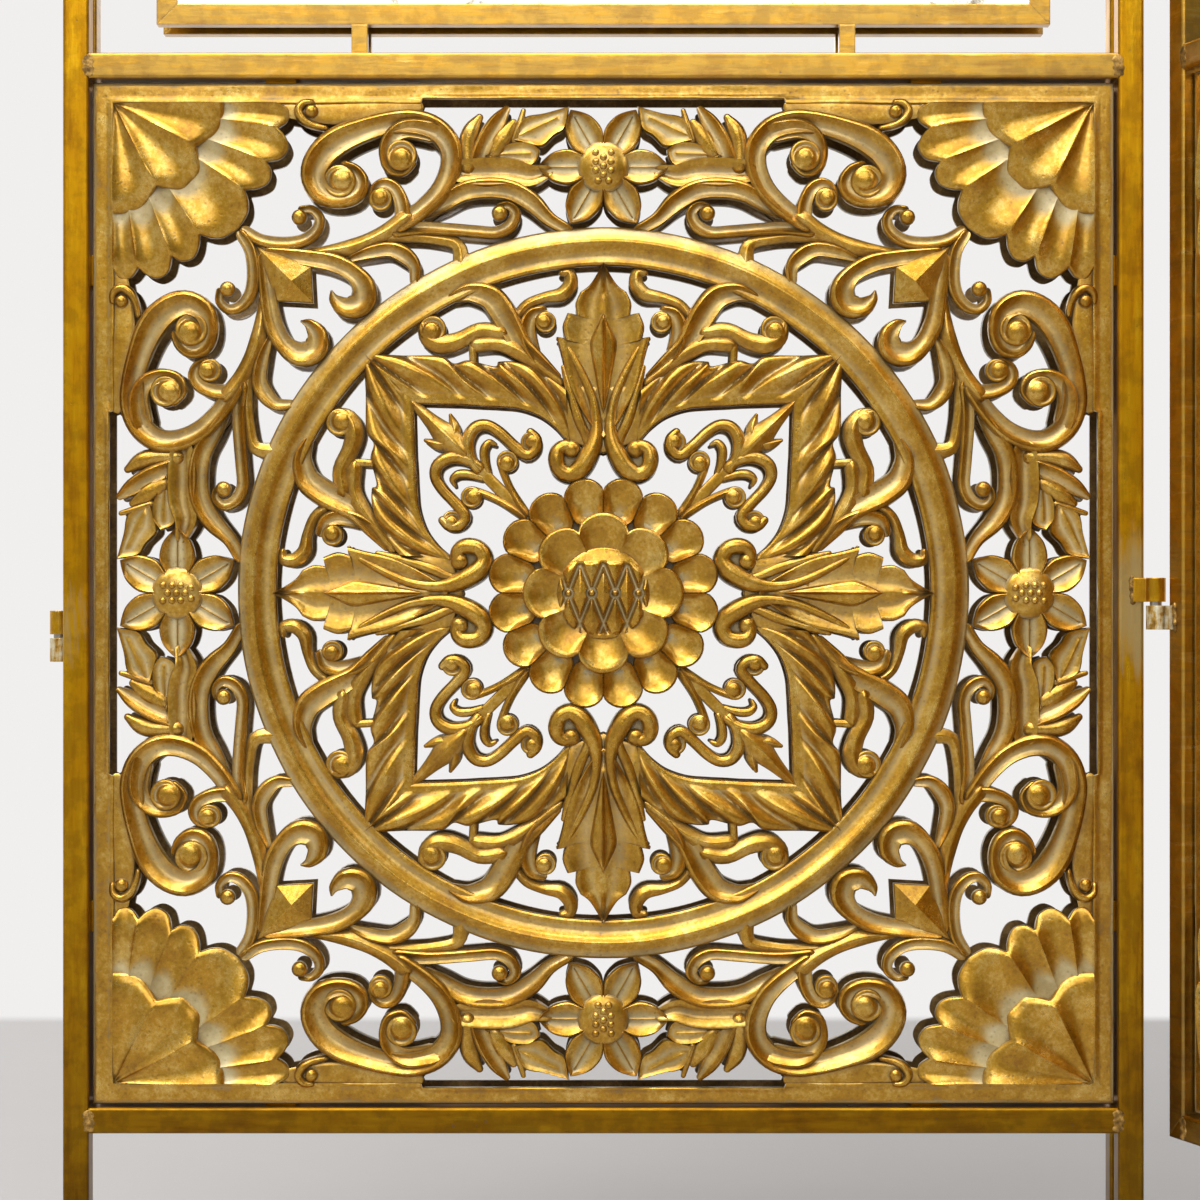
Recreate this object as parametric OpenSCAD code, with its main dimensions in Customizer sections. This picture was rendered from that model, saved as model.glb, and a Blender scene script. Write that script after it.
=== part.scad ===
// Three-leaf folding screen: square tube frames, a pierced and pressed metal panel
// at the foot of each leaf and a framed mirror above it, joined by weld-on barrel hinges.
// The front faces -Y and the floor is at z = 0. The origin is the middle of the sole of the
// centre leaf's left foot. Each leaf is drawn about its own middle, with its front at y = 0.

/* [Leaf] */
// Width of one leaf over its two stiles
leaf_w = 500; // [440:10:600]
// Height of the screen from the floor
screen_h = 1800; // [1500:50:2000]
// Height of the legs below the bottom rail
leg_h = 120; // [60:10:200]
// Side of the square tube
tube_w = 12; // [11:0.5:16]
// Wall of the square tube
tube_wall = 1.2; // [1:0.1:1.8]
// Rounding of the tube's outer corners
tube_r = 1.5; // [0.5:0.25:2.5]
// Thickness of the sole of a foot
foot_t = 3; // [2:0.5:6]
// Length of the plug that holds a foot in its tube
foot_plug = 12; // [8:1:25]

/* [Fold] */
// Angle of the left leaf from lying flat behind the centre leaf
left_open = 0; // [0:5:180]
// Angle of the right leaf forward from the line of the centre leaf
right_swing = 70; // [0:5:180]

/* [Hinges] */
// Diameter of a hinge barrel, which is also the gap between leaves in line
barrel_d = 9; // [8:0.5:11]
// Height of one barrel
barrel_h = 11; // [8:1:20]
// Diameter of the hinge pin
pin_d = 5.5; // [4:0.25:6]
// Radial clearance of the pin in the barrel that turns on it
pin_clearance = 0.05; // [0.02:0.01:0.1]
// Gap between the two barrels of a hinge
barrel_gap = 1.8; // [0.5:0.1:2]
// Distance of the hinge axis from the face that the hinge is welded to
axis_off = 3.75; // [3.25:0.25:4.5]
// Thickness of the lug that ties a barrel to its stile
lug_t = 2; // [1.5:0.25:3]
// How far the lug reaches across the stile
lug_reach = 5.5; // [4:0.5:8]
// Height of the lowest hinge between the centre and right leaves
right_hinge_z = 365; // [250:5:450]
// Height of the lowest hinge between the centre and left leaves
left_hinge_z = 350; // [250:5:450]
// Distance from one hinge to the next above it
hinge_pitch = 635; // [400:5:640]
// Number of hinges on each side
hinge_count = 3; // [2:1:3]

/* [Pierced panel] */
// Thickness of the sheet
sheet_t = 1; // [0.8:0.1:1.5]
// Gap between the sheet and the tubes round it
sheet_gap = 1; // [0.5:0.25:2]
// Depth of the sheet's flat ground behind the front of the frame
sheet_set = 6; // [5:0.5:7]
// Width of the flat border round the ornament
border_w = 10; // [9:0.5:12]
// Depth of the straight recess in the inner edge of each side of the border
recess_d = 2.3; // [1:0.1:3]
// Length of that recess
recess_l = 169; // [120:1:180]
// Height of the ring moulding above the ground
ring_rise = 3.4; // [2:0.2:4]
// Height of the rosette's outer petals above the ground
petal_rise = 1.8; // [1.2:0.1:2.4]
// Height of the seeded boss in the middle of the rosette
boss_rise = 6; // [4:0.25:7]
// Height of the flowers' petals above the ground
flower_rise = 1.6; // [1:0.1:2.2]
// Height of the shells' crests above the ground
shell_rise = 3; // [2:0.2:4]
// Height of leaves, blades and scroll eyes above the ground
leaf_rise = 2.2; // [1.4:0.1:3]
// Length of one tab behind the sheet
tab_l = 14; // [8:1:30]
// Reach of a tab behind the sheet
tab_w = 5; // [3:0.5:7]
// Thickness of a tab
tab_t = 1.5; // [1:0.25:3]
// Distance of each tab from the middle of its side
tab_off = 150; // [80:10:180]

/* [Mirror] */
// Gap between the mirror frame and the stiles
side_gap = 31; // [20:1:50]
// Gap above and below the mirror frame, which the spacers fill
spacer_h = 13.4; // [8:0.2:25]
// Width of a spacer
spacer_w = 7.4; // [5:0.2:12]
// Distance of each spacer from the middle of the leaf
spacer_off = 113; // [60:1:160]
// Face width of the mirror frame's bars
bar_w = 9.5; // [8:0.5:14]
// Depth of the mirror frame's bars
bar_d = 6; // [5.6:0.1:8]
// Thickness of the mirror glass
glass_t = 3; // [2:0.5:3]
// Thickness of the board behind the glass
board_t = 1; // [0.6:0.2:1.2]
// How far the glass and the board stand in the bars' groove
bite = 3.5; // [2:0.5:4.5]
// Clearance round the glass and the board in the groove
glass_clear = 0.15; // [0.1:0.05:0.3]

/* [Hidden] */
// The panels stand first in this list because they take the longest to build
$fn = 48;
eps = 0.01;

// Colours
gilt = [0.72, 0.55, 0.20];
old_gilt = [0.60, 0.47, 0.22];
glass_grey = [0.80, 0.82, 0.82];
board_brown = [0.35, 0.27, 0.20];
weld_grey = [0.55, 0.50, 0.42];
foot_black = [0.15, 0.14, 0.13];

// Frame levels and widths
half_w = leaf_w / 2;
open_w = leaf_w - 2 * tube_w;
panel_low = leg_h + tube_w;
panel_mid = panel_low + open_w / 2;
middle_z = panel_low + open_w;
top_z = screen_h - tube_w;
frame_low = middle_z + tube_w + spacer_h;
frame_high = top_z - spacer_h;
frame_w = open_w - 2 * side_gap;
frame_h = frame_high - frame_low;
bar_front = (tube_w - bar_d) / 2;
groove = glass_t + board_t + 2 * glass_clear;

// Closed top of the upper barrel, and the pin, which stops short of it
cap_t = 1.5;
pin_run = 2 * barrel_h + barrel_gap - cap_t - 0.5;

// Hinge axes, seen from above
axis_out = barrel_d / 2;
right_axis = [half_w + axis_out, -axis_off];
left_axis = [-half_w - axis_out, tube_w + axis_off];

// The ornament is drawn on a grid of 511 steps from the middle of the sheet to its edge
sheet_w = open_w - 2 * sheet_gap;
grid = 511;
step = sheet_w / 2 / grid;
field = grid - border_w / step;
recess = field + recess_d / step;
// Grid marks: outer and inner edge of the ring, its crest and the floor of its hollow
ring_marks = [366, 327, 349, 338];
// Grid marks: radius of the outer petals' middles, one petal and the disc under them
rosette_marks = [95, 21, 90];
// Grid marks: inner and outer edge of the raised line along the square band
band_marks = [192, 198];
// Grid marks: middle of a flower and radius of its seeded heart
flower_marks = [426, 26];
// Grid marks: how far the sides of the ring moulding stand inside the ring's outline
ring_inset = 2.5;
// Points on each run of a stroke, easing of the punched corners, and how deep a pressed form is rooted
bends = 1;
ease = 0.3;
sink = 0.4;

// Rims and crests of the pressed forms, as shares of their rise
shell_levels = [0.3, 0.8];
fan_levels = [0.7, 1.2];
stud_level = 1.1;
acanthus_level = 1.3;
line_level = 0.4;
heart_level = 2;
petal_dip = 0.6;
inner_level = 0.5;
inner_dip = 0.4;
// Bowl of a petal as a share of its radius, and the heart of a flower as a share of its mark
bowl_share = 0.84;
heart_share = 0.8;
// Radii in the rosette, in radii of one outer petal: outer cup, inner cup, middles of the inner row, boss
rosette_shares = [0.85, 0.98, 2.6, 2.15];
// Crossed grooves of the boss: their lean from the upright, their width, and their number each way
seed_lean = 29;
seed_groove = 1;
seed_rows = 4;
// Eyes of the scrolls: the smallest and largest knob that is pressed up, its edge and its share of the radius
eye_marks = [11, 20];
eye_edge = 0.3;
eye_share = 0.86;
eye_level = 0.36;

// One eighth of the scrollwork, beside the upright through the middle: [x, y, width] on the grid
strokes = [
    // scroll under the shell, and the broad hooked leaf below it
    [[358, 362, 12], [342, 353, 13], [319, 350, 14], [300, 353, 14], [287, 363, 13], [284, 375, 11],
        [292, 384, 9], [302, 384, 8]],
    [[334, 340, 14], [294, 335, 18], [269, 330, 20], [249, 319, 20], [239, 304, 26], [243, 289, 26],
        [258, 286, 22], [269, 294, 12], [272, 302, 3]],
    // stem that feeds the large scrolls
    [[304, 342, 4], [280, 342, 11], [256, 345, 17], [234, 353, 16], [214, 363, 18], [199, 374, 20]],
    // small hook at the border and the ground beside it
    [[280, 466, 5], [292, 469, 6], [301, 475, 7], [304, 483, 7], [299, 489, 6], [292, 489, 5]],
    [[316, 483, 14], [280, 480, 20], [240, 481, 22], [186, 487, 12]],
    // large C scroll with its eye, and the two curls that fill it
    [[203, 369, 18], [179, 386, 20], [161, 405, 22], [152, 428, 23], [154, 448, 24], [168, 464, 25],
        [190, 471, 26], [214, 470, 24], [240, 463, 26], [264, 453, 30], [282, 438, 30], [290, 418, 27],
        [282, 400, 24], [264, 394, 20], [248, 399, 20], [242, 411, 16], [248, 422, 14], [258, 427, 12]],
    [[172, 462, 24], [194, 465, 22], [210, 458, 18], [217, 443, 16], [214, 427, 14], [202, 422, 12],
        [193, 430, 12]],
    [[201, 375, 16], [202, 390, 16], [208, 404, 14], [218, 410, 12], [227, 407, 10], [231, 398, 10]],
    // hooked leaf that lands on the ring
    [[252, 335, 8], [234, 341, 14], [214, 344, 16], [199, 338, 18], [189, 327, 14], [189, 313, 10]],
    // low scroll beside the flower, its underside and its tie to the ring
    [[206, 363, 16], [179, 365, 14], [154, 364, 13], [129, 362, 13], [107, 361, 13], [93, 368, 14],
        [88, 380, 12], [95, 388, 9], [103, 387, 8]],
    [[219, 355, 10], [194, 357, 12], [169, 355, 12], [146, 349, 14], [142, 328, 18]],
    // arching stem to the foot of the flower, and the arm above it
    [[176, 380, 12], [160, 390, 18], [141, 401, 21], [119, 405, 22], [94, 403, 22], [72, 391, 21],
        [54, 374, 15], [36, 364, 12]],
    [[140, 421, 28], [119, 421, 32], [94, 421, 30], [74, 417, 26], [58, 421, 16]],
    // leaves of the cluster beside the flower
    [[136, 428, 18], [136, 448, 18], [132, 463, 18], [124, 476, 8]],
    [[126, 432, 18], [117, 453, 20], [106, 471, 18], [97, 484, 8]],
    [[89, 453, 8], [84, 468, 8], [80, 483, 5]],
    [[109, 441, 16], [99, 458, 18], [90, 471, 8]],
    // arched leaf inside the ring
    [[150, 296, 12], [134, 301, 20], [114, 296, 26], [101, 281, 28], [92, 265, 26], [82, 248, 22],
        [64, 232, 16], [46, 217, 8]],
    // curls and ties between the ring and the square
    [[104, 261, 18], [124, 263, 16], [144, 253, 18], [162, 249, 20], [176, 255, 16], [180, 267, 12]],
    [[126, 249, 16], [104, 250, 16], [84, 242, 18], [64, 227, 14], [44, 211, 10]],
    [[131, 248, 8], [130, 230, 8]],
    [[59, 221, 6], [71, 243, 16], [76, 263, 18], [72, 278, 14], [61, 283, 10]],
    [[86, 277, 12], [76, 289, 11], [59, 296, 11], [42, 299, 15], [33, 309, 15], [34, 320, 12],
        [41, 321, 8]],
    // three-lobed leaf at the inner corner, and the sprays that run from the rosette to it
    [[190, 188, 10], [172, 171, 16], [156, 155, 26], [142, 141, 22]],
    [[149, 153, 14], [149, 166, 12], [153, 178, 4]],
    [[126, 124, 10], [134, 137, 13], [136, 152, 14], [129, 165, 13], [117, 168, 12], [104, 161, 12],
        [90, 148, 12], [77, 138, 12], [68, 144, 12], [67, 154, 11], [73, 161, 9]],
    [[115, 122, 6], [119, 134, 9], [119, 145, 9], [114, 151, 7], [108, 149, 4]],
    [[103, 130, 8], [99, 118, 8], [92, 103, 8], [82, 86, 10], [76, 79, 8]],
    [[142, 141, 14], [119, 120, 12], [104, 108, 12], [89, 93, 12], [77, 80, 12]]
];

// Eyes, buds and knots of the scrolls: [x, y, radius] on the grid
knobs = [
    [304, 376, 8], [293, 483, 5], [264, 412, 17], [202, 438, 16], [223, 394, 12], [104, 380, 8],
    [171, 264, 14], [58, 271, 11], [36, 135, 21], [72, 151, 11], [96, 132, 11], [338, 338, 14]
];

// Places where strokes meet and the sheet stays closed between them: [x, y, radius] on the grid
webs = [
    [319, 488, 5], [92, 451, 4], [84, 451, 4], [146, 411, 4], [349, 349, 5], [257, 336, 5], [75, 75, 4]
];

// Leaf and shell outlines, as runs of points between sharp corners
shell_half = [
    [[500, 500], [324, 500]],
    [[324, 500], [324, 489], [316, 485], [314, 478], [317, 471], [325, 465]],
    [[325, 465], [318, 457], [315, 446], [322, 435], [336, 431]],
    [[336, 431], [332, 422], [335, 411], [345, 405], [358, 403]],
    [[358, 403], [355, 392], [356, 380], [365, 365]]
];
stud_half = [[[345, 345], [292, 327]], [[292, 327], [290, 290]]];
broad_leaf = [
    [[90, 453], [80, 475], [59, 480], [34, 487]],
    [[34, 487], [38, 465], [49, 457], [61, 446], [74, 449]]
];
low_leaf = [
    [[119, 437], [104, 445], [90, 451], [74, 451], [63, 443]],
    [[63, 443], [66, 433], [74, 427], [94, 432]]
];
acanthus_half = [
    [[0, 331], [6, 320], [14, 308], [23, 301]],
    [[23, 301], [28, 290], [27, 278]],
    [[27, 278], [36, 280]],
    [[36, 280], [41, 266], [38, 253]],
    [[38, 253], [47, 256]],
    [[47, 256], [41, 238], [38, 205]],
    [[38, 205], [42, 160], [36, 115], [14, 115]],
    [[14, 115], [5, 128], [0, 142]]
];
band_half = [
    [[240, 240], [224, 240], [194, 238], [162, 237], [149, 230]],
    [[149, 230], [134, 233], [109, 227]],
    [[109, 227], [104, 232], [86, 231], [64, 223], [38, 205]],
    [[38, 205], [34, 180], [39, 155]],
    [[39, 155], [49, 166], [64, 177], [84, 184], [104, 186], [140, 188], [189, 189]]
];
petal_half = [[18, 11], [34, 18], [50, 15], [60, 7], [66, 0]];

// Corners of the pressed forms, each inside its own outline
shell_tip = [486, 486];
shell_rim = [[330, 486], [323, 477], [331, 466], [323, 446], [341, 434], [340, 412], [362, 407]];
shell_axis = [369, 369];
fan_rim = [[382, 486], [385, 465], [408, 446]];
fan_axis = [409, 409];
stud = [[342, 342], [294, 325], [292, 292], [325, 294]];
stud_crest = [314, 314];
band_corner = [[236, 236], [204, 228], [192, 192], [228, 204]];
band_crest = [214, 214];
blade = [[58, 193], [86, 202], [96, 226], [66, 214]];
blade_crest = [77, 208];
band_pitch = 32;
band_blades = 4;
petal_crest = [44, 0];
petal_crease = [[24, 0], [38, -15], [64, 0], [38, 15]];
acanthus_crest = [0, 244];
acanthus_crease = [[0, 327], [-25, 276], [-36, 232], [-17, 162], [17, 162], [36, 232], [25, 276]];

// A smooth curve through hand-set points
function blend(a, b, c, d, t) =
    0.5 * (2 * b + (c - a) * t + (2 * a - 5 * b + 4 * c - d) * t * t
        + (3 * b - a - 3 * c + d) * t * t * t);
function curve(p, n) =
    let (last = len(p) - 1)
    [
        for (i = [0 : last - 1])
            for (k = [0 : n - 1])
                blend(p[max(i - 1, 0)], p[i], p[i + 1], p[min(i + 2, last)], k / n),
        p[last]
    ];
function flat(p) = [p[0], p[1]];
function side_of(c, i) =
    let (
        last = len(c) - 1,
        along = flat(c[min(i + 1, last)]) - flat(c[max(i - 1, 0)])
    )
    [-along[1], along[0]] / norm(along);
function ribbon(p) =
    let (
        c = curve(p, bends),
        last = len(c) - 1,
        first_along = [side_of(c, 0)[1], -side_of(c, 0)[0]],
        last_along = [side_of(c, last)[1], -side_of(c, last)[0]]
    )
    [
        flat(c[0]) - first_along * c[0][2] / 2,
        for (i = [0 : last]) flat(c[i]) + side_of(c, i) * c[i][2] / 2,
        flat(c[last]) + last_along * c[last][2] / 2,
        for (i = [0 : last]) flat(c[last - i]) - side_of(c, last - i) * c[last - i][2] / 2
    ];
function turned_over(p) = [for (i = [len(p) - 1 : -1 : 0]) [p[i][1], p[i][0]]];
function runs(list) = [for (run = list) each len(run) > 2 ? curve(run, bends) : run];

module petal() {
    last = len(petal_half) - 1;
    polygon([
        for (p = petal_half) p,
        for (i = [1 : last]) [petal_half[last - i][0], -petal_half[last - i][1]]
    ]);
}

module flower() {
    translate([0, flower_marks[0]]) {
        for (turn = [0 : 60 : 300]) {
            rotate(turn) petal();
        }
        circle(r = flower_marks[1], $fn = 18);
    }
}

// Everything that stands between one upright and the diagonal beside it
module eighth() {
    for (p = strokes) {
        polygon(ribbon(p));
    }
    for (k = knobs) {
        translate([k[0], k[1]]) circle(r = k[2], $fn = 10);
    }
    for (w = webs) {
        translate([w[0], w[1]]) circle(r = w[2], $fn = 6);
    }
    for (outline = [shell_half, stud_half, broad_leaf, low_leaf, acanthus_half, band_half]) {
        polygon(runs(outline));
    }
}

module quarter() {
    for (flip = [0, 1]) {
        mirror([flip, 0]) {
            eighth();
        }
        mirror([flip, 0]) mirror([1, -1]) {
            eighth();
        }
    }
}

module border() {
    difference() {
        square(2 * grid, center = true);
        square(2 * field, center = true);
        for (turn = [0, 90]) {
            rotate(turn) square([recess_l / step, 2 * recess], center = true);
        }
    }
}

module ring_flat() {
    difference() {
        circle(r = ring_marks[0], $fn = 72);
        circle(r = ring_marks[1], $fn = 72);
    }
}

module rosette_flat() {
    for (i = [0 : 15]) {
        rotate(11.25 + 22.5 * i) translate([rosette_marks[0], 0]) circle(r = rosette_marks[1], $fn = 16);
    }
    circle(r = rosette_marks[2], $fn = 48);
}

// The whole pierced outline, with the punched corners eased
module ornament() {
    offset(delta = -ease) offset(delta = ease) {
        border();
        ring_flat();
        rosette_flat();
        for (turn = [0 : 90 : 270]) {
            rotate(turn) flower();
        }
        for (turn = [0, 180]) {
            rotate(turn) quarter();
        }
    }
}

// The openings between one upright and the diagonal beside it, as one cutter
module cutter(turn, flip) {
    linear_extrude(3 * sheet_t, center = true) scale(step) offset(delta = 0) intersection() {
        difference() {
            square(recess + grid, center = true);
            ornament();
        }
        rotate(turn) mirror([flip, 0]) polygon([[0, 0], [0, grid], [grid, grid]]);
    }
}

// A pyramid over corners on the grid, with its crest over one point: heights in mm
module ridge(corners, crest, high) {
    n = len(corners);
    polyhedron(
        points = [
            for (p = corners) [p[0] * step, p[1] * step, -sink],
            [crest[0] * step, crest[1] * step, high]
        ],
        faces = [
            [for (i = [0 : n - 1]) i],
            for (i = [0 : n - 1]) [n, (i + 1) % n, i]
        ]
    );
}

// A fluted fan that spreads from a corner: its rim goes from cusp to crest to cusp
module fan(corner, rim, low, high) {
    n = len(rim);
    all = concat([corner], rim);
    height = [high, for (i = [0 : n - 1]) i % 2 == 0 ? low : high];
    polyhedron(
        points = [
            for (p = all) [p[0] * step, p[1] * step, -sink],
            for (i = [0 : n]) [all[i][0] * step, all[i][1] * step, height[i]]
        ],
        faces = [
            [for (i = [0 : n]) i],
            for (i = [0 : n]) [i, i + n + 1, (i + 1) % (n + 1) + n + 1, (i + 1) % (n + 1)],
            for (i = [1 : n - 1]) [n + 1, n + 2 + i, n + 1 + i]
        ]
    );
}

// Radius of the ball whose cap has a given edge radius and height
function ball_r(r, rise) = (r * r + rise * rise) / (2 * rise);

// A flat round with a shallow bowl pressed into it
module cup(r, rise, dip) {
    ball = ball_r(bowl_share * r, dip);
    difference() {
        translate([0, 0, -sink]) cylinder(r = r, h = rise + sink);
        translate([0, 0, rise + ball - dip]) sphere(r = ball);
    }
}

// A low dome that rises from a round edge
module dome(r, low, high) {
    ball = ball_r(r, high - low);
    intersection() {
        translate([0, 0, -sink]) cylinder(r = r, h = high + 2 * sink);
        translate([0, 0, high - ball]) sphere(r = ball);
    }
}

// The ring moulding: outer slope, crest, hollow and inner lip
module ring_relief() {
    edge = ring_inset * step;
    outer = ring_marks[0] * step - edge;
    inner = ring_marks[1] * step + edge;
    crest = ring_marks[2] * step;
    hollow = ring_marks[3] * step;
    rotate_extrude() {
        polygon([
            [inner, -sink], [inner, ring_rise / 2], [inner + edge, ring_rise / 2],
            [hollow, ring_rise / 3], [crest - edge / 2, ring_rise], [crest + edge / 2, ring_rise],
            [outer, ring_rise / 5], [outer, -sink]
        ]);
    }
}

// The hollow that pressing the ring leaves behind it
module ring_hollow() {
    edge = ring_inset * step;
    outer = ring_marks[0] * step - 2 * edge;
    inner = ring_marks[1] * step + 3 * edge;
    crest = ring_marks[2] * step;
    back = -sheet_t - eps;
    rotate_extrude() {
        polygon([
            [inner, back], [crest - edge / 2, ring_rise - sheet_t], [crest + edge / 2, ring_rise - sheet_t],
            [outer, back]
        ]);
    }
}

// The raised line along the inner edge of the square band, or the groove behind it
module band_line(rise) {
    low = band_marks[0] * step;
    high = band_marks[1] * step;
    difference() {
        translate([-high, -high, -sink]) cube([2 * high, 2 * high, rise + sink]);
        translate([-low, -low, -2 * sink]) cube([2 * low, 2 * low, rise + 3 * sink]);
    }
}

// A groove across the boss, off its middle, that follows the boss's curve
module boss_groove(ball, off) {
    reach = sqrt(ball * ball - off * off);
    translate([off, 0, 0]) rotate([0, 90, 0]) difference() {
        cylinder(r = reach + seed_groove, h = seed_groove, center = true);
        cylinder(r = reach - seed_groove / 2, h = 2 * seed_groove, center = true);
    }
}

// Two rows of cupped petals round a boss with crossed grooves
module rosette_relief() {
    petal_r = rosette_marks[1] * step;
    inner_rise = inner_level * boss_rise;
    boss_r = rosette_shares[3] * petal_r;
    boss_ball = ball_r(boss_r, boss_rise - inner_rise);
    for (i = [0 : 15]) {
        rotate(11.25 + 22.5 * i) translate([rosette_marks[0] * step, 0, 0]) {
            cup(rosette_shares[0] * petal_r, petal_rise, petal_dip * petal_rise);
        }
    }
    for (i = [0 : 7]) {
        rotate(45 * i) translate([rosette_shares[2] * petal_r, 0, 0]) {
            cup(rosette_shares[1] * petal_r, inner_rise, inner_dip * inner_rise);
        }
    }
    difference() {
        dome(boss_r, inner_rise, boss_rise);
        for (lean = [-1, 1], k = [0 : seed_rows - 1]) {
            translate([0, 0, boss_rise - boss_ball]) rotate(lean * seed_lean) {
                boss_groove(boss_ball, (2 * k + 1 - seed_rows) * boss_r / seed_rows);
            }
        }
    }
}

module flower_relief() {
    heart_r = heart_share * flower_marks[1] * step;
    translate([0, flower_marks[0] * step, 0]) {
        for (turn = [0 : 60 : 300]) {
            rotate(turn) ridge(petal_crease, petal_crest, flower_rise);
        }
        dome(heart_r, flower_rise, heart_level * flower_rise);
    }
}

// Shell with a second fan on it, and the stud on its axis
module corner_relief() {
    shell = shell_levels * shell_rise;
    upper = fan_levels * shell_rise;
    fan(shell_tip, concat(shell_rim, [shell_axis], turned_over(shell_rim)), shell[0], shell[1]);
    fan(shell_tip, concat(fan_rim, [fan_axis], turned_over(fan_rim)), upper[0], upper[1]);
    ridge(stud, stud_crest, stud_level * shell_rise);
    ridge(band_corner, band_crest, leaf_rise);
}

// Blades of the band and eyes of the scrolls, beside one upright
module eighth_relief() {
    for (i = [0 : band_blades - 1]) {
        ridge([for (p = blade) p + [band_pitch * i, 0]], blade_crest + [band_pitch * i, 0], leaf_rise);
    }
    for (k = knobs) {
        if (k[2] > eye_marks[0] && k[2] < eye_marks[1] && k[0] != k[1]) {
            translate([k[0] * step, k[1] * step, 0]) {
                dome(eye_share * k[2] * step, eye_edge, eye_edge + eye_level * k[2] * step);
            }
        }
    }
}

module panel_relief() {
    ring_relief();
    band_line(line_level * leaf_rise);
    rosette_relief();
    for (turn = [0 : 90 : 270]) {
        rotate(turn) {
            flower_relief();
            corner_relief();
            ridge(acanthus_crease, acanthus_crest, acanthus_level * leaf_rise);
            for (flip = [0, 1]) {
                mirror([flip, 0, 0]) eighth_relief();
            }
        }
    }
}

module panel_sheet() {
    translate([0, sheet_set + sheet_t / 2, panel_mid]) rotate([90, 0, 0]) difference() {
        union() {
            cube([sheet_w, sheet_w, sheet_t], center = true);
            translate([0, 0, sheet_t / 2]) panel_relief();
        }
        cutter(0, 0);
        cutter(0, 1);
        cutter(90, 0);
        cutter(90, 1);
        cutter(180, 0);
        cutter(180, 1);
        cutter(270, 0);
        cutter(270, 1);
        translate([0, 0, sheet_t / 2]) ring_hollow();
        translate([0, 0, -sheet_t / 2]) band_line(sink / 2);
    }
}

// Square tube along +Z with its outer side at -X, and mitres cut where asked
module tube_section() {
    inner = tube_w - 2 * tube_r;
    difference() {
        union() {
            square([inner, tube_w], center = true);
            square([tube_w, inner], center = true);
            for (x = [-1, 1], y = [-1, 1]) {
                translate([x, y] * inner / 2) circle(r = tube_r);
            }
        }
        square(tube_w - 2 * tube_wall, center = true);
    }
}

module tube(run, mitre_low, mitre_high) {
    low = mitre_low ? tube_w : 0;
    high = mitre_high ? tube_w : 0;
    side = tube_w / 2;
    if (mitre_low || mitre_high) {
        intersection() {
            linear_extrude(run) tube_section();
            rotate([90, 0, 0]) linear_extrude(tube_w + 2, center = true) {
                polygon([[-side, 0], [side, low], [side, run - high], [-side, run]]);
            }
        }
    } else {
        linear_extrude(run) tube_section();
    }
}

module upright(side, low, mitre_low) {
    translate([side * (half_w - tube_w / 2), tube_w / 2, low]) {
        mirror([side > 0 ? 1 : 0, 0, 0]) tube(screen_h - low, mitre_low, true);
    }
}

module leg_stile(side) {
    upright(side, foot_t, false);
}

module hinge_stile(side) {
    upright(side, leg_h, true);
}

module butt_rail(z) {
    translate([-open_w / 2, tube_w / 2, z + tube_w / 2]) rotate([0, 90, 0]) tube(open_w, false, false);
}

module top_rail() {
    translate([-half_w, tube_w / 2, top_z + tube_w / 2]) rotate([0, 90, 0]) tube(leaf_w, true, true);
}

// Bottom rail of a wing, mitred into its hinge stile and butted on its leg
module wing_bottom_rail(hinge_side) {
    mirror([hinge_side > 0 ? 1 : 0, 0, 0]) {
        translate([-half_w, tube_w / 2, leg_h + tube_w / 2]) mirror([0, 0, 1]) rotate([0, 90, 0]) {
            tube(leaf_w - tube_w, true, false);
        }
    }
}

module foot(side) {
    plug = tube_w - 2 * tube_wall - 0.2;
    translate([side * (half_w - tube_w / 2), tube_w / 2, 0]) {
        translate([-tube_w / 2, -tube_w / 2, 0]) cube([tube_w, tube_w, foot_t]);
        translate([-plug / 2, -plug / 2, foot_t - eps]) cube([plug, plug, foot_plug]);
    }
}

// Tabs welded to the tubes behind the edge of the sheet
module panel_tabs() {
    for (turn = [0 : 90 : 270], along = [-1, 1]) {
        translate([0, sheet_set + sheet_t, panel_mid]) rotate([0, turn, 0]) {
            translate([along * tab_off - tab_l / 2, 0, -open_w / 2]) cube([tab_l, tab_t, tab_w]);
        }
    }
}

// One grooved bar of the mirror frame along +Z, with its outer side at -X and mitred ends
module frame_bar(run) {
    cheek = (bar_d - groove) / 2;
    slot = bite + glass_clear;
    intersection() {
        linear_extrude(run) {
            polygon([
                [0, 0], [bar_w, 0], [bar_w, cheek], [bar_w - slot, cheek], [bar_w - slot, bar_d - cheek],
                [bar_w, bar_d - cheek], [bar_w, bar_d], [0, bar_d]
            ]);
        }
        rotate([90, 0, 0]) linear_extrude(4 * bar_d, center = true) {
            polygon([[0, 0], [bar_w, bar_w], [bar_w, run - bar_w], [0, run]]);
        }
    }
}

module side_bar(side) {
    translate([side * frame_w / 2, bar_front, frame_low]) {
        mirror([side > 0 ? 1 : 0, 0, 0]) frame_bar(frame_h);
    }
}

module cross_bar(high) {
    z = high ? frame_high : frame_low;
    translate([-frame_w / 2, bar_front, z]) mirror([0, 0, high ? 1 : 0]) {
        mirror([1, 0, -1]) frame_bar(frame_w);
    }
}

module pane(t, front) {
    reach = bar_w - bite;
    translate([-frame_w / 2 + reach, front, frame_low + reach]) {
        cube([frame_w - 2 * reach, t, frame_h - 2 * reach]);
    }
}

module mirror_glass() {
    pane(glass_t, bar_front + (bar_d - glass_t - board_t) / 2);
}

module mirror_board() {
    pane(board_t, bar_front + (bar_d + glass_t - board_t) / 2);
}

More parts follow.
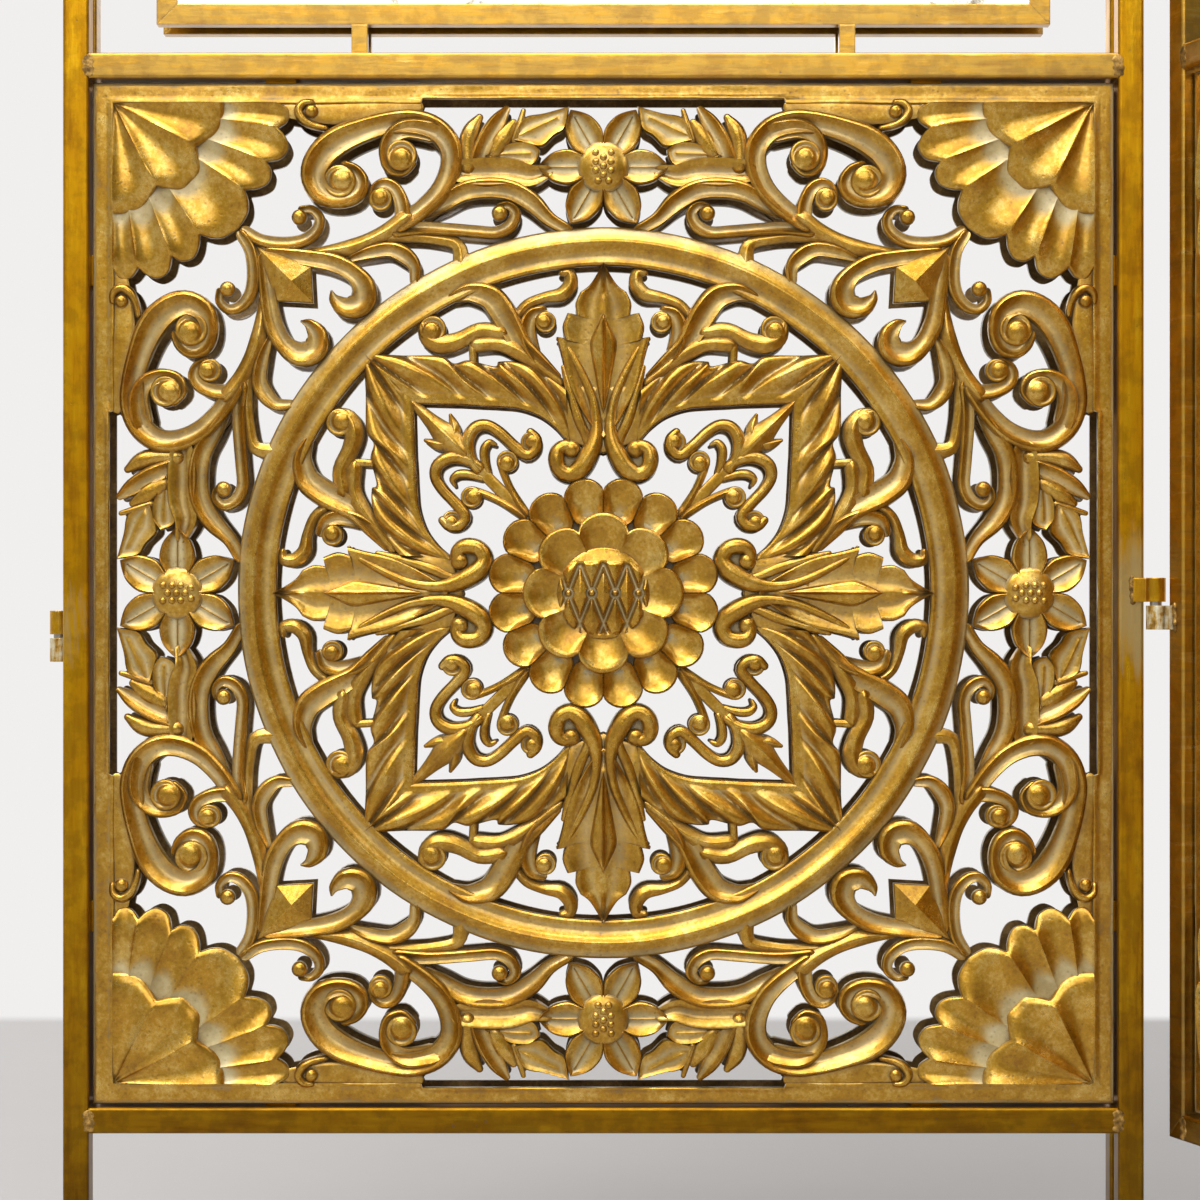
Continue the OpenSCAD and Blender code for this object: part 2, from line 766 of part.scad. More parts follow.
module spacers() {
    for (x = [-1, 1], z = [middle_z + tube_w, frame_high]) {
        translate([x * spacer_off - spacer_w / 2, bar_front, z]) cube([spacer_w, bar_d, spacer_h]);
    }
}

// Barrel with its lug, for a stile at -X whose face is axis_off behind the axis
module barrel(bore_d, cap) {
    difference() {
        union() {
            cylinder(d = barrel_d, h = barrel_h);
            translate([-axis_out - lug_reach, axis_off - lug_t, 0]) {
                cube([axis_out + lug_reach, lug_t, barrel_h]);
            }
        }
        translate([0, 0, -1]) cylinder(d = bore_d, h = barrel_h + (cap > 0 ? 1 - cap : 2));
    }
}

// Places of the leaves, the side ones each turned about its hinge axis, and of the hinges
module centre_place() {
    translate([half_w - tube_w / 2, -tube_w / 2, 0]) children();
}

module left_place() {
    centre_place() translate(left_axis) rotate(left_open - 180) translate(-left_axis) {
        translate([-leaf_w - barrel_d, 0, 0]) children();
    }
}

module right_place() {
    centre_place() translate(right_axis) rotate(-right_swing) translate(-right_axis) {
        translate([leaf_w + barrel_d, 0, 0]) children();
    }
}

module left_levels(z) {
    centre_place() for (i = [0 : hinge_count - 1]) {
        translate([left_axis[0], left_axis[1], left_hinge_z + i * hinge_pitch + z]) children();
    }
}

module right_levels(z) {
    centre_place() for (i = [0 : hinge_count - 1]) {
        translate([right_axis[0], right_axis[1], right_hinge_z + i * hinge_pitch + z]) children();
    }
}

// The upper barrels are closed at the top and stay with the centre leaf
module left_upper_barrels() {
    left_levels(barrel_gap / 2) rotate(180) barrel(pin_d + 2 * pin_clearance, cap_t);
}

module right_upper_barrels() {
    right_levels(barrel_gap / 2) barrel(pin_d + 2 * pin_clearance, cap_t);
}

// The lower barrels hold the pins and turn with the side leaves
module left_lower_barrels() {
    left_levels(-barrel_gap / 2 - barrel_h) {
        rotate(left_open - 180) mirror([0, 1, 0]) barrel(pin_d, 0);
    }
}

module right_lower_barrels() {
    right_levels(-barrel_gap / 2 - barrel_h) {
        rotate(-right_swing) mirror([1, 0, 0]) barrel(pin_d, 0);
    }
}

module left_pins() {
    left_levels(-barrel_gap / 2 - barrel_h) cylinder(d = pin_d, h = pin_run);
}

module right_pins() {
    right_levels(-barrel_gap / 2 - barrel_h) cylinder(d = pin_d, h = pin_run);
}

color(gilt) centre_place() leg_stile(-1);  // centre_left_stile
color(gilt) centre_place() leg_stile(1);  // centre_right_stile
color(gilt) centre_place() top_rail();  // centre_top_rail
color(gilt) centre_place() butt_rail(middle_z);  // centre_middle_rail
color(gilt) centre_place() butt_rail(leg_h);  // centre_bottom_rail
color(old_gilt) centre_place() panel_sheet();  // centre_panel
color(gilt) centre_place() panel_tabs();  // centre_panel_tabs
color(glass_grey) centre_place() mirror_glass();  // centre_mirror
color(board_brown) centre_place() mirror_board();  // centre_mirror_board
color(gilt) centre_place() cross_bar(true);  // centre_frame_top
color(gilt) centre_place() cross_bar(false);  // centre_frame_bottom
color(gilt) centre_place() side_bar(-1);  // centre_frame_left
color(gilt) centre_place() side_bar(1);  // centre_frame_right
color(gilt) centre_place() spacers();  // centre_spacers
color(foot_black) centre_place() { foot(-1); foot(1); }  // centre_feet
color(gilt) left_place() hinge_stile(1);  // left_hinge_stile
color(gilt) left_place() leg_stile(-1);  // left_leg_stile
color(gilt) left_place() top_rail();  // left_top_rail
color(gilt) left_place() butt_rail(middle_z);  // left_middle_rail
color(gilt) left_place() wing_bottom_rail(1);  // left_bottom_rail
color(old_gilt) left_place() panel_sheet();  // left_panel
color(gilt) left_place() panel_tabs();  // left_panel_tabs
color(glass_grey) left_place() mirror_glass();  // left_mirror
color(board_brown) left_place() mirror_board();  // left_mirror_board
color(gilt) left_place() cross_bar(true);  // left_frame_top
color(gilt) left_place() cross_bar(false);  // left_frame_bottom
color(gilt) left_place() side_bar(1);  // left_frame_hinge_side
color(gilt) left_place() side_bar(-1);  // left_frame_leg_side
color(gilt) left_place() spacers();  // left_spacers
color(foot_black) left_place() foot(-1);  // left_foot
color(gilt) right_place() hinge_stile(-1);  // right_hinge_stile
color(gilt) right_place() leg_stile(1);  // right_leg_stile
color(gilt) right_place() top_rail();  // right_top_rail
color(gilt) right_place() butt_rail(middle_z);  // right_middle_rail
color(gilt) right_place() wing_bottom_rail(-1);  // right_bottom_rail
color(old_gilt) right_place() panel_sheet();  // right_panel
color(gilt) right_place() panel_tabs();  // right_panel_tabs
color(glass_grey) right_place() mirror_glass();  // right_mirror
color(board_brown) right_place() mirror_board();  // right_mirror_board
color(gilt) right_place() cross_bar(true);  // right_frame_top
color(gilt) right_place() cross_bar(false);  // right_frame_bottom
color(gilt) right_place() side_bar(-1);  // right_frame_hinge_side
color(gilt) right_place() side_bar(1);  // right_frame_leg_side
color(gilt) right_place() spacers();  // right_spacers
color(foot_black) right_place() foot(1);  // right_foot
color(weld_grey) left_upper_barrels();  // left_hinge_upper_barrels
color(weld_grey) left_lower_barrels();  // left_hinge_lower_barrels
color(weld_grey) left_pins();  // left_hinge_pins
color(weld_grey) right_upper_barrels();  // right_hinge_upper_barrels
color(weld_grey) right_lower_barrels();  // right_hinge_lower_barrels
color(weld_grey) right_pins();  // right_hinge_pins
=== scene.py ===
"""Looks of a gilded folding screen with pierced, pressed panels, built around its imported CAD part."""

import logging
import math
from dataclasses import dataclass, field
from enum import Enum

import bmesh
import bpy
import numpy as np
from mathutils import Matrix, Vector


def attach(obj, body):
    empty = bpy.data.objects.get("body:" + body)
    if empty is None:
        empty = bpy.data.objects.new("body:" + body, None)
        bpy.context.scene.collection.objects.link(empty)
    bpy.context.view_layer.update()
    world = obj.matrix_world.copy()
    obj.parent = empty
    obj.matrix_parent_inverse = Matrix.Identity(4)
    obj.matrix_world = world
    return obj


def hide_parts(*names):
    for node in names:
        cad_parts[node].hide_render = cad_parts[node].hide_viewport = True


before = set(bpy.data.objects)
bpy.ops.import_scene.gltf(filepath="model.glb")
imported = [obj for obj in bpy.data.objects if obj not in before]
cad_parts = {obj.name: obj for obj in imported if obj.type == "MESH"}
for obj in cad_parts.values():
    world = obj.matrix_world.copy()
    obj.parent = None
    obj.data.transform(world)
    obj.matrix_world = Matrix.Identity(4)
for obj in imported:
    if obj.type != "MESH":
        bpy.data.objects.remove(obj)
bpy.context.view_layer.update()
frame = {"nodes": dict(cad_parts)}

log = logging.getLogger("screen")
Array = np.ndarray

MM = 0.001
LEAF_W = 500.0
TUBE_W = 12.0
SHEET_MID_Z = 370.0
SHEET_FRONT = 6.0
SHEET_T = 1.0
GRID_HALF = 511
STEP = (LEAF_W - 2 * TUBE_W - 2.0) / 2 / GRID_HALF
PRESS = 1.45
BARREL_D = 9.0
AXIS_OFF = 3.75
RIGHT_SWING = 70.0

HINGE_SPAN = 60.0
FOOT_STEP = 0.012
FOOT_CYCLE = 32
SAME_SPOT = 2e-6
NO_LENGTH = 1e-6
LEAST_RUN = 1e-9
BACK_LEAN = 0.4
WHITE = (241, 239, 238)

Stroke = tuple[float, float, float]
Level = tuple[float, float, float]
Place = tuple[float, float]
Spot = tuple[float, float, float]
Screen = tuple[int, int, int]
Colour = tuple[float, float, float, float]
Stop = tuple[float, float | tuple]
Socket = bpy.types.NodeSocket


class Section(Enum):
    """Cross-sections that a pressed stroke can have, from its left edge to its right."""

    ROUND = (0.22, 0.58, 0.84, 0.97, 1.0, 0.97, 0.84, 0.58, 0.22)
    RIDGE = (0.14, 0.40, 0.56, 0.84, 1.0, 0.84, 0.56, 0.40, 0.14)
    RIM_LEFT = (0.26, 0.86, 1.0, 0.64, 0.36, 0.26, 0.34, 0.50, 0.18)
    RIM_RIGHT = (0.18, 0.50, 0.34, 0.26, 0.36, 0.64, 1.0, 0.86, 0.26)
    TROUGH = (0.26, 0.88, 0.84, 0.44, 0.26, 0.44, 0.84, 0.88, 0.26)
    FLAT = (0.30, 0.62, 0.70, 0.72, 0.72, 0.72, 0.70, 0.62, 0.30)


ACROSS = np.array((-1.0, -0.84, -0.58, -0.28, 0.0, 0.28, 0.58, 0.84, 1.0))


def blend_curve(points: Array | list[tuple], pieces: int) -> Array:
    """Run a smooth curve through given points.

    Args:
        points: the points, one row each, with any number of columns.
        pieces: how many pieces each span is cut into.

    Returns:
        The points of the curve, which passes through every given point.
    """
    p = np.asarray(points, float)
    if len(p) < 3:
        t = np.linspace(0, 1, pieces + 1)[:, None]
        return p[0] + (p[-1] - p[0]) * t
    ends = np.vstack([p[:1], p, p[-1:]])
    t = (np.arange(pieces) / pieces)[:, None]
    out = []
    for a, b, c, d in zip(ends[:-3], ends[1:-2], ends[2:-1], ends[3:]):
        out.append(0.5 * (2 * b + (c - a) * t + (2 * a - 5 * b + 4 * c - d) * t * t
                          + (3 * b - a - 3 * c + d) * t ** 3))
    return np.vstack(out + [p[-1:]])


def across_of(curve: Array) -> Array:
    """Return the unit vector to the left of the curve's run at each of its points."""
    run = np.gradient(curve[:, :2], axis=0)
    run /= np.maximum(np.linalg.norm(run, axis=1, keepdims=True), LEAST_RUN)
    return np.stack([-run[:, 1], run[:, 0]], axis=1)


def smoothed(runs: list[list[Place]], *last: Place) -> Array:
    """Return runs of points between sharp corners as one outline, each run smoothed."""
    return np.vstack([blend_curve(run, 4)[:-1] for run in runs] + [np.array([place]) for place in last])


def mirrored(half: Array) -> Array:
    """Return a closed outline from its right half, which runs from its top to its foot."""
    return np.vstack([half, half[-2:0:-1] * (-1, 1)])


def stem(outline: Array, low: float, high: float, drop: float = 0.0) -> Array:
    """Return for each point of an outline its own point on an upright line between two heights."""
    return np.column_stack([0 * outline[:, 0], np.clip(outline[:, 1] - drop, low, high)])


def circle(sides: int, radius: float, x: float = 0.0, y: float = 0.0) -> Array:
    """Return the points of a circle round a place."""
    turn = np.linspace(0, 2 * math.pi, sides, endpoint=False)
    return np.column_stack([x + radius * np.cos(turn), y + radius * np.sin(turn)])


def column(*values: float) -> Array:
    """Return values as a column, one for each row of a lattice."""
    return np.array(values)[:, None]


@dataclass
class Relief:
    """Pressed metal: places in steps of the sheet's grid, heights above its ground in PRESS millimetres."""

    points: list[Array] = field(default_factory=list)
    faces: list[Array] = field(default_factory=list)
    tones: list[Array] = field(default_factory=list)
    count: int = 0
    forms: int = 0
    crease: float = 62.0

    def foot(self) -> float:
        """Return the height of the next form's flat back: no two backs that overlap share a plane."""
        self.forms += 1
        return FOOT_STEP * (self.forms % FOOT_CYCLE + 1) - SHEET_T

    def add(self, xyh: Array, quads: Array, tone: Array) -> None:
        """Add vertices, the quads that join them, and how bright each vertex is rubbed."""
        self.points.append(xyh)
        self.faces.append(quads + self.count)
        self.tones.append(tone)
        self.count += len(xyh)

    def lattice(self, xyh: Array, tone: Array, round_rows: bool = False, round_cols: bool = False) -> None:
        """Add a lattice of vertices.

        Args:
            xyh: vertices, rows by columns by three.
            tone: brightness of each vertex, rows by columns.
            round_rows: join the last row to the first.
            round_cols: join the last column to the first.
        """
        rows, cols = xyh.shape[:2]
        index = np.arange(rows * cols).reshape(rows, cols)
        if round_rows:
            index = np.vstack([index, index[:1]])
        if round_cols:
            index = np.hstack([index, index[:, :1]])
        quads = np.stack([index[:-1, :-1], index[:-1, 1:], index[1:, 1:], index[1:, :-1]], axis=-1)
        self.add(xyh.reshape(-1, 3), quads.reshape(-1, 4), tone.reshape(-1))

    def stroke(self, points: list[Stroke], section: Section, rise: float = 1.0, base: float = 0.0) -> None:
        """Press one stroke along a centre line.

        Args:
            points: centre line with widths, in steps.
            section: its cross-section.
            rise: how high it stands against others of its width.
            base: height of its foot above the ground.
        """
        curve = blend_curve(points, 4)
        side = across_of(curve)
        ahead = np.stack([side[:, 1], -side[:, 0]], axis=1)
        reach = np.array((1.0, 0.88, 0.5))
        narrow = np.sqrt(1 - reach ** 2)
        first = np.hstack([curve[0, :2] - ahead[0] * (reach * curve[0, 2] / 2)[:, None],
                           (narrow * curve[0, 2])[:, None]])
        last = np.hstack([curve[-1, :2] + ahead[-1] * (reach[::-1] * curve[-1, 2] / 2)[:, None],
                          (narrow[::-1] * curve[-1, 2])[:, None]])
        side = np.vstack([np.repeat(side[:1], 3, 0), side, np.repeat(side[-1:], 3, 0)])
        curve = np.vstack([first, curve, last])
        width = curve[:, 2]
        crown = rise * np.minimum(0.46 * (width * STEP) ** 0.86, 3.6)
        shape = np.array(section.value)
        top = crown[:, None] * shape + base
        low = np.full((len(curve), 3), -SHEET_T) + crown[:, None] * np.array((0.0, 0.55, 0.0))
        under = np.array((0.9, 0.0, -0.9))
        u = np.concatenate([ACROSS, under])
        place = curve[:, None, :2] + side[:, None, :] * (-u * width[:, None] / 2)[:, :, None]
        height = np.hstack([top, low])
        tone = np.hstack([np.repeat(shape[None], len(curve), 0), np.zeros((len(curve), 3))])
        self.lattice(np.dstack([place, height]), tone, round_cols=True)

    def mound(self, outline: Array | list[Place], spine: Array | Place, levels: list[Level]) -> None:
        """Press a form that runs in from a closed outline to a spine or a point.

        Args:
            outline: closed outline, in steps, one row a point.
            spine: for each outline point its own point on the spine, or one point for all.
            levels: from the outline in: the share of the way to the spine, the height and the tone.
        """
        outline = np.asarray(outline, float)
        spine = np.broadcast_to(np.asarray(spine, float), outline.shape)
        foot = self.foot()
        rows, tones = [], []
        for share, height, tone in [(1.0, foot, 0.0), (0.0, foot, 0.0), *levels]:
            at = outline + (spine - outline) * share
            rows.append(np.column_stack([at, np.full(len(at), height)]))
            tones.append(np.full(len(at), tone))
        self.lattice(np.array(rows), np.array(tones), round_cols=True)

    def knob(self, x: float, y: float, radius: float, height: float, base: float = 0.0) -> None:
        """Press a round eye or bead at a place on the grid."""
        shape = ((0.0, 0.25, 0.1), (0.08, 0.52, 0.45), (0.25, 0.76, 0.8), (0.5, 0.93, 0.95),
                 (0.75, 1.0, 1.0), (1.0, 1.02, 1.0))
        levels = [(share, base + part * height, tone) for share, part, tone in shape]
        self.mound(circle(16, radius, x, y), (x, y), levels)

    def eye(self, x: float, y: float, radius: float, lead: float) -> None:
        """Press the eye of a scroll: a bead in a groove that runs out where the ribbon turns into the bead.

        Args:
            x: middle of the eye, in steps across the grid.
            y: middle of the eye, in steps up the grid.
            radius: outer radius, in steps.
            lead: angle, from the middle, at which the ribbon comes in.
        """
        turn = np.linspace(0, 2 * math.pi, 24, endpoint=False)
        cut = (0.5 - 0.5 * np.cos(turn - lead)) ** 0.7
        high = 1.1 + 0.12 * radius
        rows, tones = [], []
        for share, low, smooth, worn, proud in [
                (0.0, 0.2, 0.3, 0.3, 0.5), (0.05, 0.42, 0.5, 0.6, 0.8), (0.12, 0.48, 0.62, 0.8, 0.9),
                (0.2, 0.4, 0.72, 0.4, 0.95), (0.27, 0.3, 0.79, 0.1, 0.95), (0.33, 0.4, 0.84, 0.3, 0.95),
                (0.41, 0.64, 0.89, 0.7, 1.0), (0.5, 0.82, 0.93, 0.9, 1.0), (0.62, 0.93, 0.97, 1.0, 1.0),
                (0.8, 1.0, 1.0, 1.0, 1.0), (1.0, 1.03, 1.03, 1.0, 1.0)]:
            reach = radius * (1 - share)
            off = 0.12 * radius * min(share * 2.5, 1.0)
            ring = circle(24, reach, x + off * math.cos(lead), y + off * math.sin(lead))
            rows.append(np.column_stack([ring, high * (smooth + (low - smooth) * cut)]))
            tones.append(proud + (worn - proud) * cut)
        low = np.array((0.0, 0.0, self.foot()))
        back = [rows[at] * (1.0, 1.0, 0.0) + low for at in (-1, 0)]
        self.lattice(np.array([*back, *rows]), np.array([cut * 0, cut * 0, *tones]), round_cols=True)

    def joined(self) -> tuple[Array, Array, Array]:
        """Return all vertices, quads and tones."""
        return np.vstack(self.points), np.vstack(self.faces), np.concatenate(self.tones)

    def copies(self, turns: list[Array]) -> "Relief":
        """Return this relief repeated by each of the given two by two matrices."""
        out = Relief(crease=self.crease)
        xyh, quads, tone = self.joined()
        for turn in turns:
            moved = xyh.copy()
            moved[:, :2] = xyh[:, :2] @ np.asarray(turn).T
            out.add(moved, quads, tone)
        return out

    def take(self, other: "Relief") -> None:
        """Add another relief to this one."""
        self.add(*other.joined())

    def mesh(self, name: str) -> bpy.types.Mesh:
        """Make the mesh, in the leaf's own place, with the tones as a point attribute."""
        xyh, quads, tone = self.joined()
        rise = np.where(xyh[:, 2] > 0, PRESS * xyh[:, 2], xyh[:, 2])
        place = np.column_stack([xyh[:, 0] * STEP, SHEET_FRONT - rise, SHEET_MID_Z + xyh[:, 1] * STEP]) * MM
        made = bpy.data.meshes.new(name)
        made.from_pydata(place.tolist(), [], quads.tolist())
        # rubbed is the wear of each vertex; behind marks the lower vertices of the walls, which the brass
        # material darkens as painted shade.
        for mark, values in (("rubbed", tone), ("behind", xyh[:, 2] < 0)):
            layer = made.attributes.new(mark, "FLOAT", "POINT")
            layer.data.foreach_set("value", values.astype(np.float32))
        work = bmesh.new()
        work.from_mesh(made)
        bmesh.ops.remove_doubles(work, verts=work.verts, dist=SAME_SPOT)
        bmesh.ops.dissolve_degenerate(work, edges=work.edges, dist=NO_LENGTH)
        bmesh.ops.recalc_face_normals(work, faces=work.faces)
        work.to_mesh(made)
        work.free()
        out = np.empty(3 * len(made.polygons), np.float32)
        made.polygons.foreach_get("normal", out)
        back = made.attributes.new("back", "FLOAT", "FACE")
        back.data.foreach_set("value", (out[1::3] > BACK_LEAN).astype(np.float32))
        made.polygons.foreach_set("use_smooth", np.ones(len(made.polygons), bool))
        made.set_sharp_from_angle(angle=math.radians(self.crease))
        return made


def turned(degrees: float) -> Array:
    """Return the two by two matrix of a turn."""
    c, s = math.cos(math.radians(degrees)), math.sin(math.radians(degrees))
    return np.array(((c, -s), (s, c)))


EIGHTHS = [turned(90 * k) @ np.diag((f, 1.0)) for k in range(4) for f in (1.0, -1.0)]
QUARTERS = [turned(90 * k) for k in range(4)]


@dataclass
class Scrollwork:
    """Scrolls, hooks, ties and leaf blades of one eighth of the sheet, with their eyes."""

    strokes: list[tuple[Section, float, list[Stroke]]] = field(default_factory=lambda: [
        (Section.RIM_LEFT, 1.0, [(358, 362, 12), (342, 353, 13), (319, 350, 14), (300, 353, 14),
            (287, 363, 13), (284, 375, 11), (292, 384, 9), (302, 384, 8)]),
        (Section.RIM_RIGHT, 0.95, [(334, 340, 14), (294, 335, 18), (269, 330, 20), (249, 319, 20),
            (239, 304, 26), (243, 289, 26), (258, 286, 22), (269, 294, 12), (272, 302, 3)]),
        (Section.RIDGE, 1.0, [(304, 342, 4), (280, 342, 11), (256, 345, 17), (234, 353, 16), (214, 363, 18),
            (199, 374, 20)]),
        (Section.ROUND, 1.7, [(278, 465, 6), (291, 468, 8), (301, 474, 10), (305, 483, 10), (300, 490, 9),
            (292, 491, 7)]),
        (Section.FLAT, 0.35, [(316, 483, 14), (280, 480, 20), (240, 481, 22), (186, 487, 12)]),
        (Section.RIM_LEFT, 1.15, [(203, 369, 18), (179, 386, 20), (161, 405, 22), (152, 428, 23),
            (154, 448, 24), (168, 464, 25), (190, 471, 26), (214, 470, 24), (240, 463, 26), (264, 453, 30),
            (282, 438, 30), (290, 418, 27), (282, 400, 24), (264, 394, 20), (248, 399, 20), (242, 411, 16),
            (248, 422, 14), (258, 427, 12)]),
        (Section.RIM_LEFT, 1.0, [(172, 462, 24), (194, 465, 22), (210, 458, 18), (217, 443, 16),
            (214, 427, 14), (202, 422, 12), (193, 430, 12)]),
        (Section.RIM_LEFT, 1.0, [(201, 375, 16), (202, 390, 16), (208, 404, 14), (218, 410, 12),
            (227, 407, 10), (231, 398, 10)]),
        (Section.RIM_RIGHT, 0.9, [(252, 335, 8), (234, 341, 14), (214, 344, 16), (199, 338, 18),
            (189, 327, 14), (189, 313, 10)]),
        (Section.RIM_LEFT, 1.05, [(206, 363, 16), (179, 365, 14), (154, 364, 13), (129, 362, 13),
            (107, 361, 13), (93, 368, 14), (88, 380, 12), (95, 388, 9), (103, 387, 8)]),
        (Section.RIDGE, 0.7, [(219, 355, 10), (194, 357, 12), (169, 355, 12), (146, 349, 14),
            (142, 328, 18)]),
        (Section.RIM_RIGHT, 1.1, [(176, 380, 12), (160, 390, 18), (141, 401, 21), (119, 405, 22),
            (94, 403, 22), (72, 391, 21), (54, 374, 15), (36, 364, 12)]),
        (Section.TROUGH, 0.95, [(140, 421, 28), (119, 421, 32), (94, 421, 30), (74, 417, 26),
            (58, 421, 16)]),
        (Section.ROUND, 1.0, [(136, 428, 18), (136, 448, 18), (132, 463, 18), (124, 476, 8)]),
        (Section.RIM_RIGHT, 1.1, [(126, 432, 18), (117, 453, 20), (106, 471, 18), (97, 484, 8)]),
        (Section.ROUND, 0.9, [(89, 453, 8), (84, 468, 8), (80, 483, 5)]),
        (Section.ROUND, 0.7, [(109, 441, 16), (99, 458, 18), (90, 471, 8)]),
        (Section.RIM_RIGHT, 1.05, [(150, 296, 12), (134, 301, 20), (114, 296, 26), (101, 281, 28),
            (92, 265, 26), (82, 248, 22), (64, 232, 16), (46, 217, 8)]),
        (Section.RIDGE, 0.95, [(104, 261, 18), (124, 263, 16), (144, 253, 18), (162, 249, 20),
            (176, 255, 16), (180, 267, 12)]),
        (Section.RIDGE, 0.85, [(126, 249, 16), (104, 250, 16), (84, 242, 18), (64, 227, 14), (44, 211, 10)]),
        (Section.ROUND, 0.8, [(131, 248, 8), (130, 230, 8)]),
        (Section.RIM_RIGHT, 1.1, [(59, 221, 6), (71, 243, 16), (76, 263, 18), (72, 278, 14), (61, 283, 10)]),
        (Section.RIDGE, 1.0, [(86, 277, 12), (76, 289, 11), (59, 296, 11), (42, 299, 15), (33, 309, 15),
            (34, 320, 12), (41, 321, 8)]),
        (Section.RIDGE, 1.0, [(149, 153, 14), (149, 166, 12), (153, 178, 4)]),
        (Section.ROUND, 1.25, [(126, 124, 10), (134, 137, 13), (136, 152, 14), (129, 165, 13),
            (117, 168, 12), (104, 161, 12), (90, 148, 12), (77, 138, 12), (68, 144, 12), (67, 154, 11),
            (73, 161, 9)]),
        (Section.ROUND, 1.0, [(115, 122, 6), (119, 134, 9), (119, 145, 9), (114, 151, 7), (108, 149, 4)]),
        (Section.RIDGE, 1.2, [(103, 130, 8), (99, 118, 8), (92, 103, 8), (82, 86, 10), (76, 79, 8)]),
    ])
    axis_strokes: list[tuple[Section, float, list[Stroke]]] = field(default_factory=lambda: [
        (Section.RIDGE, 1.1, [(190, 190, 8), (172, 172, 16), (156, 156, 26), (142, 142, 22)]),
        (Section.FLAT, 0.6, [(142, 142, 14), (119, 119, 12), (104, 104, 12), (89, 89, 12), (77, 77, 12)]),
    ])
    knobs: list[Stroke] = field(default_factory=lambda: [
        (304, 376, 8), (292, 482, 7), (264, 412, 17), (202, 438, 16), (223, 394, 12), (104, 380, 8),
        (171, 264, 14), (58, 271, 11), (72, 151, 11), (96, 132, 11)])
    webs: list[Stroke] = field(default_factory=lambda: [
        (319, 488, 5), (92, 451, 4), (84, 451, 4), (146, 411, 4), (257, 336, 5)])
    tie: Stroke = (338, 338, 14)
    web_rise: float = 0.3
    least_eye: float = 10.0

    def lead(self, x: float, y: float) -> float:
        """Return the angle at which the nearest ribbon comes in to the eye at a place on the grid."""
        ends = [run for _, _, points in self.strokes for run in (points, points[::-1])]
        run = min(ends, key=lambda one: math.hypot(one[0][0] - x, one[0][1] - y))
        return math.atan2(run[1][1] - y, run[1][0] - x)

    def relief(self) -> Relief:
        """Return the scrollwork of the whole sheet."""
        eighth, quarter = Relief(), Relief(forms=FOOT_CYCLE // 2)
        for section, rise, points in self.strokes:
            eighth.stroke(points, section, rise)
        for x, y, radius in self.knobs:
            if radius > self.least_eye:
                eighth.eye(x, y, radius, self.lead(x, y))
            else:
                eighth.knob(x, y, radius, 0.9 + 0.45 * radius * STEP, 0.5)
        for x, y, radius in self.webs:
            eighth.knob(x, y, radius, self.web_rise)
        for section, rise, points in self.axis_strokes:
            quarter.stroke(points, section, rise)
        quarter.knob(*self.tie, 0.6)
        whole = eighth.copies(EIGHTHS)
        whole.take(quarter.copies(QUARTERS))
        return whole


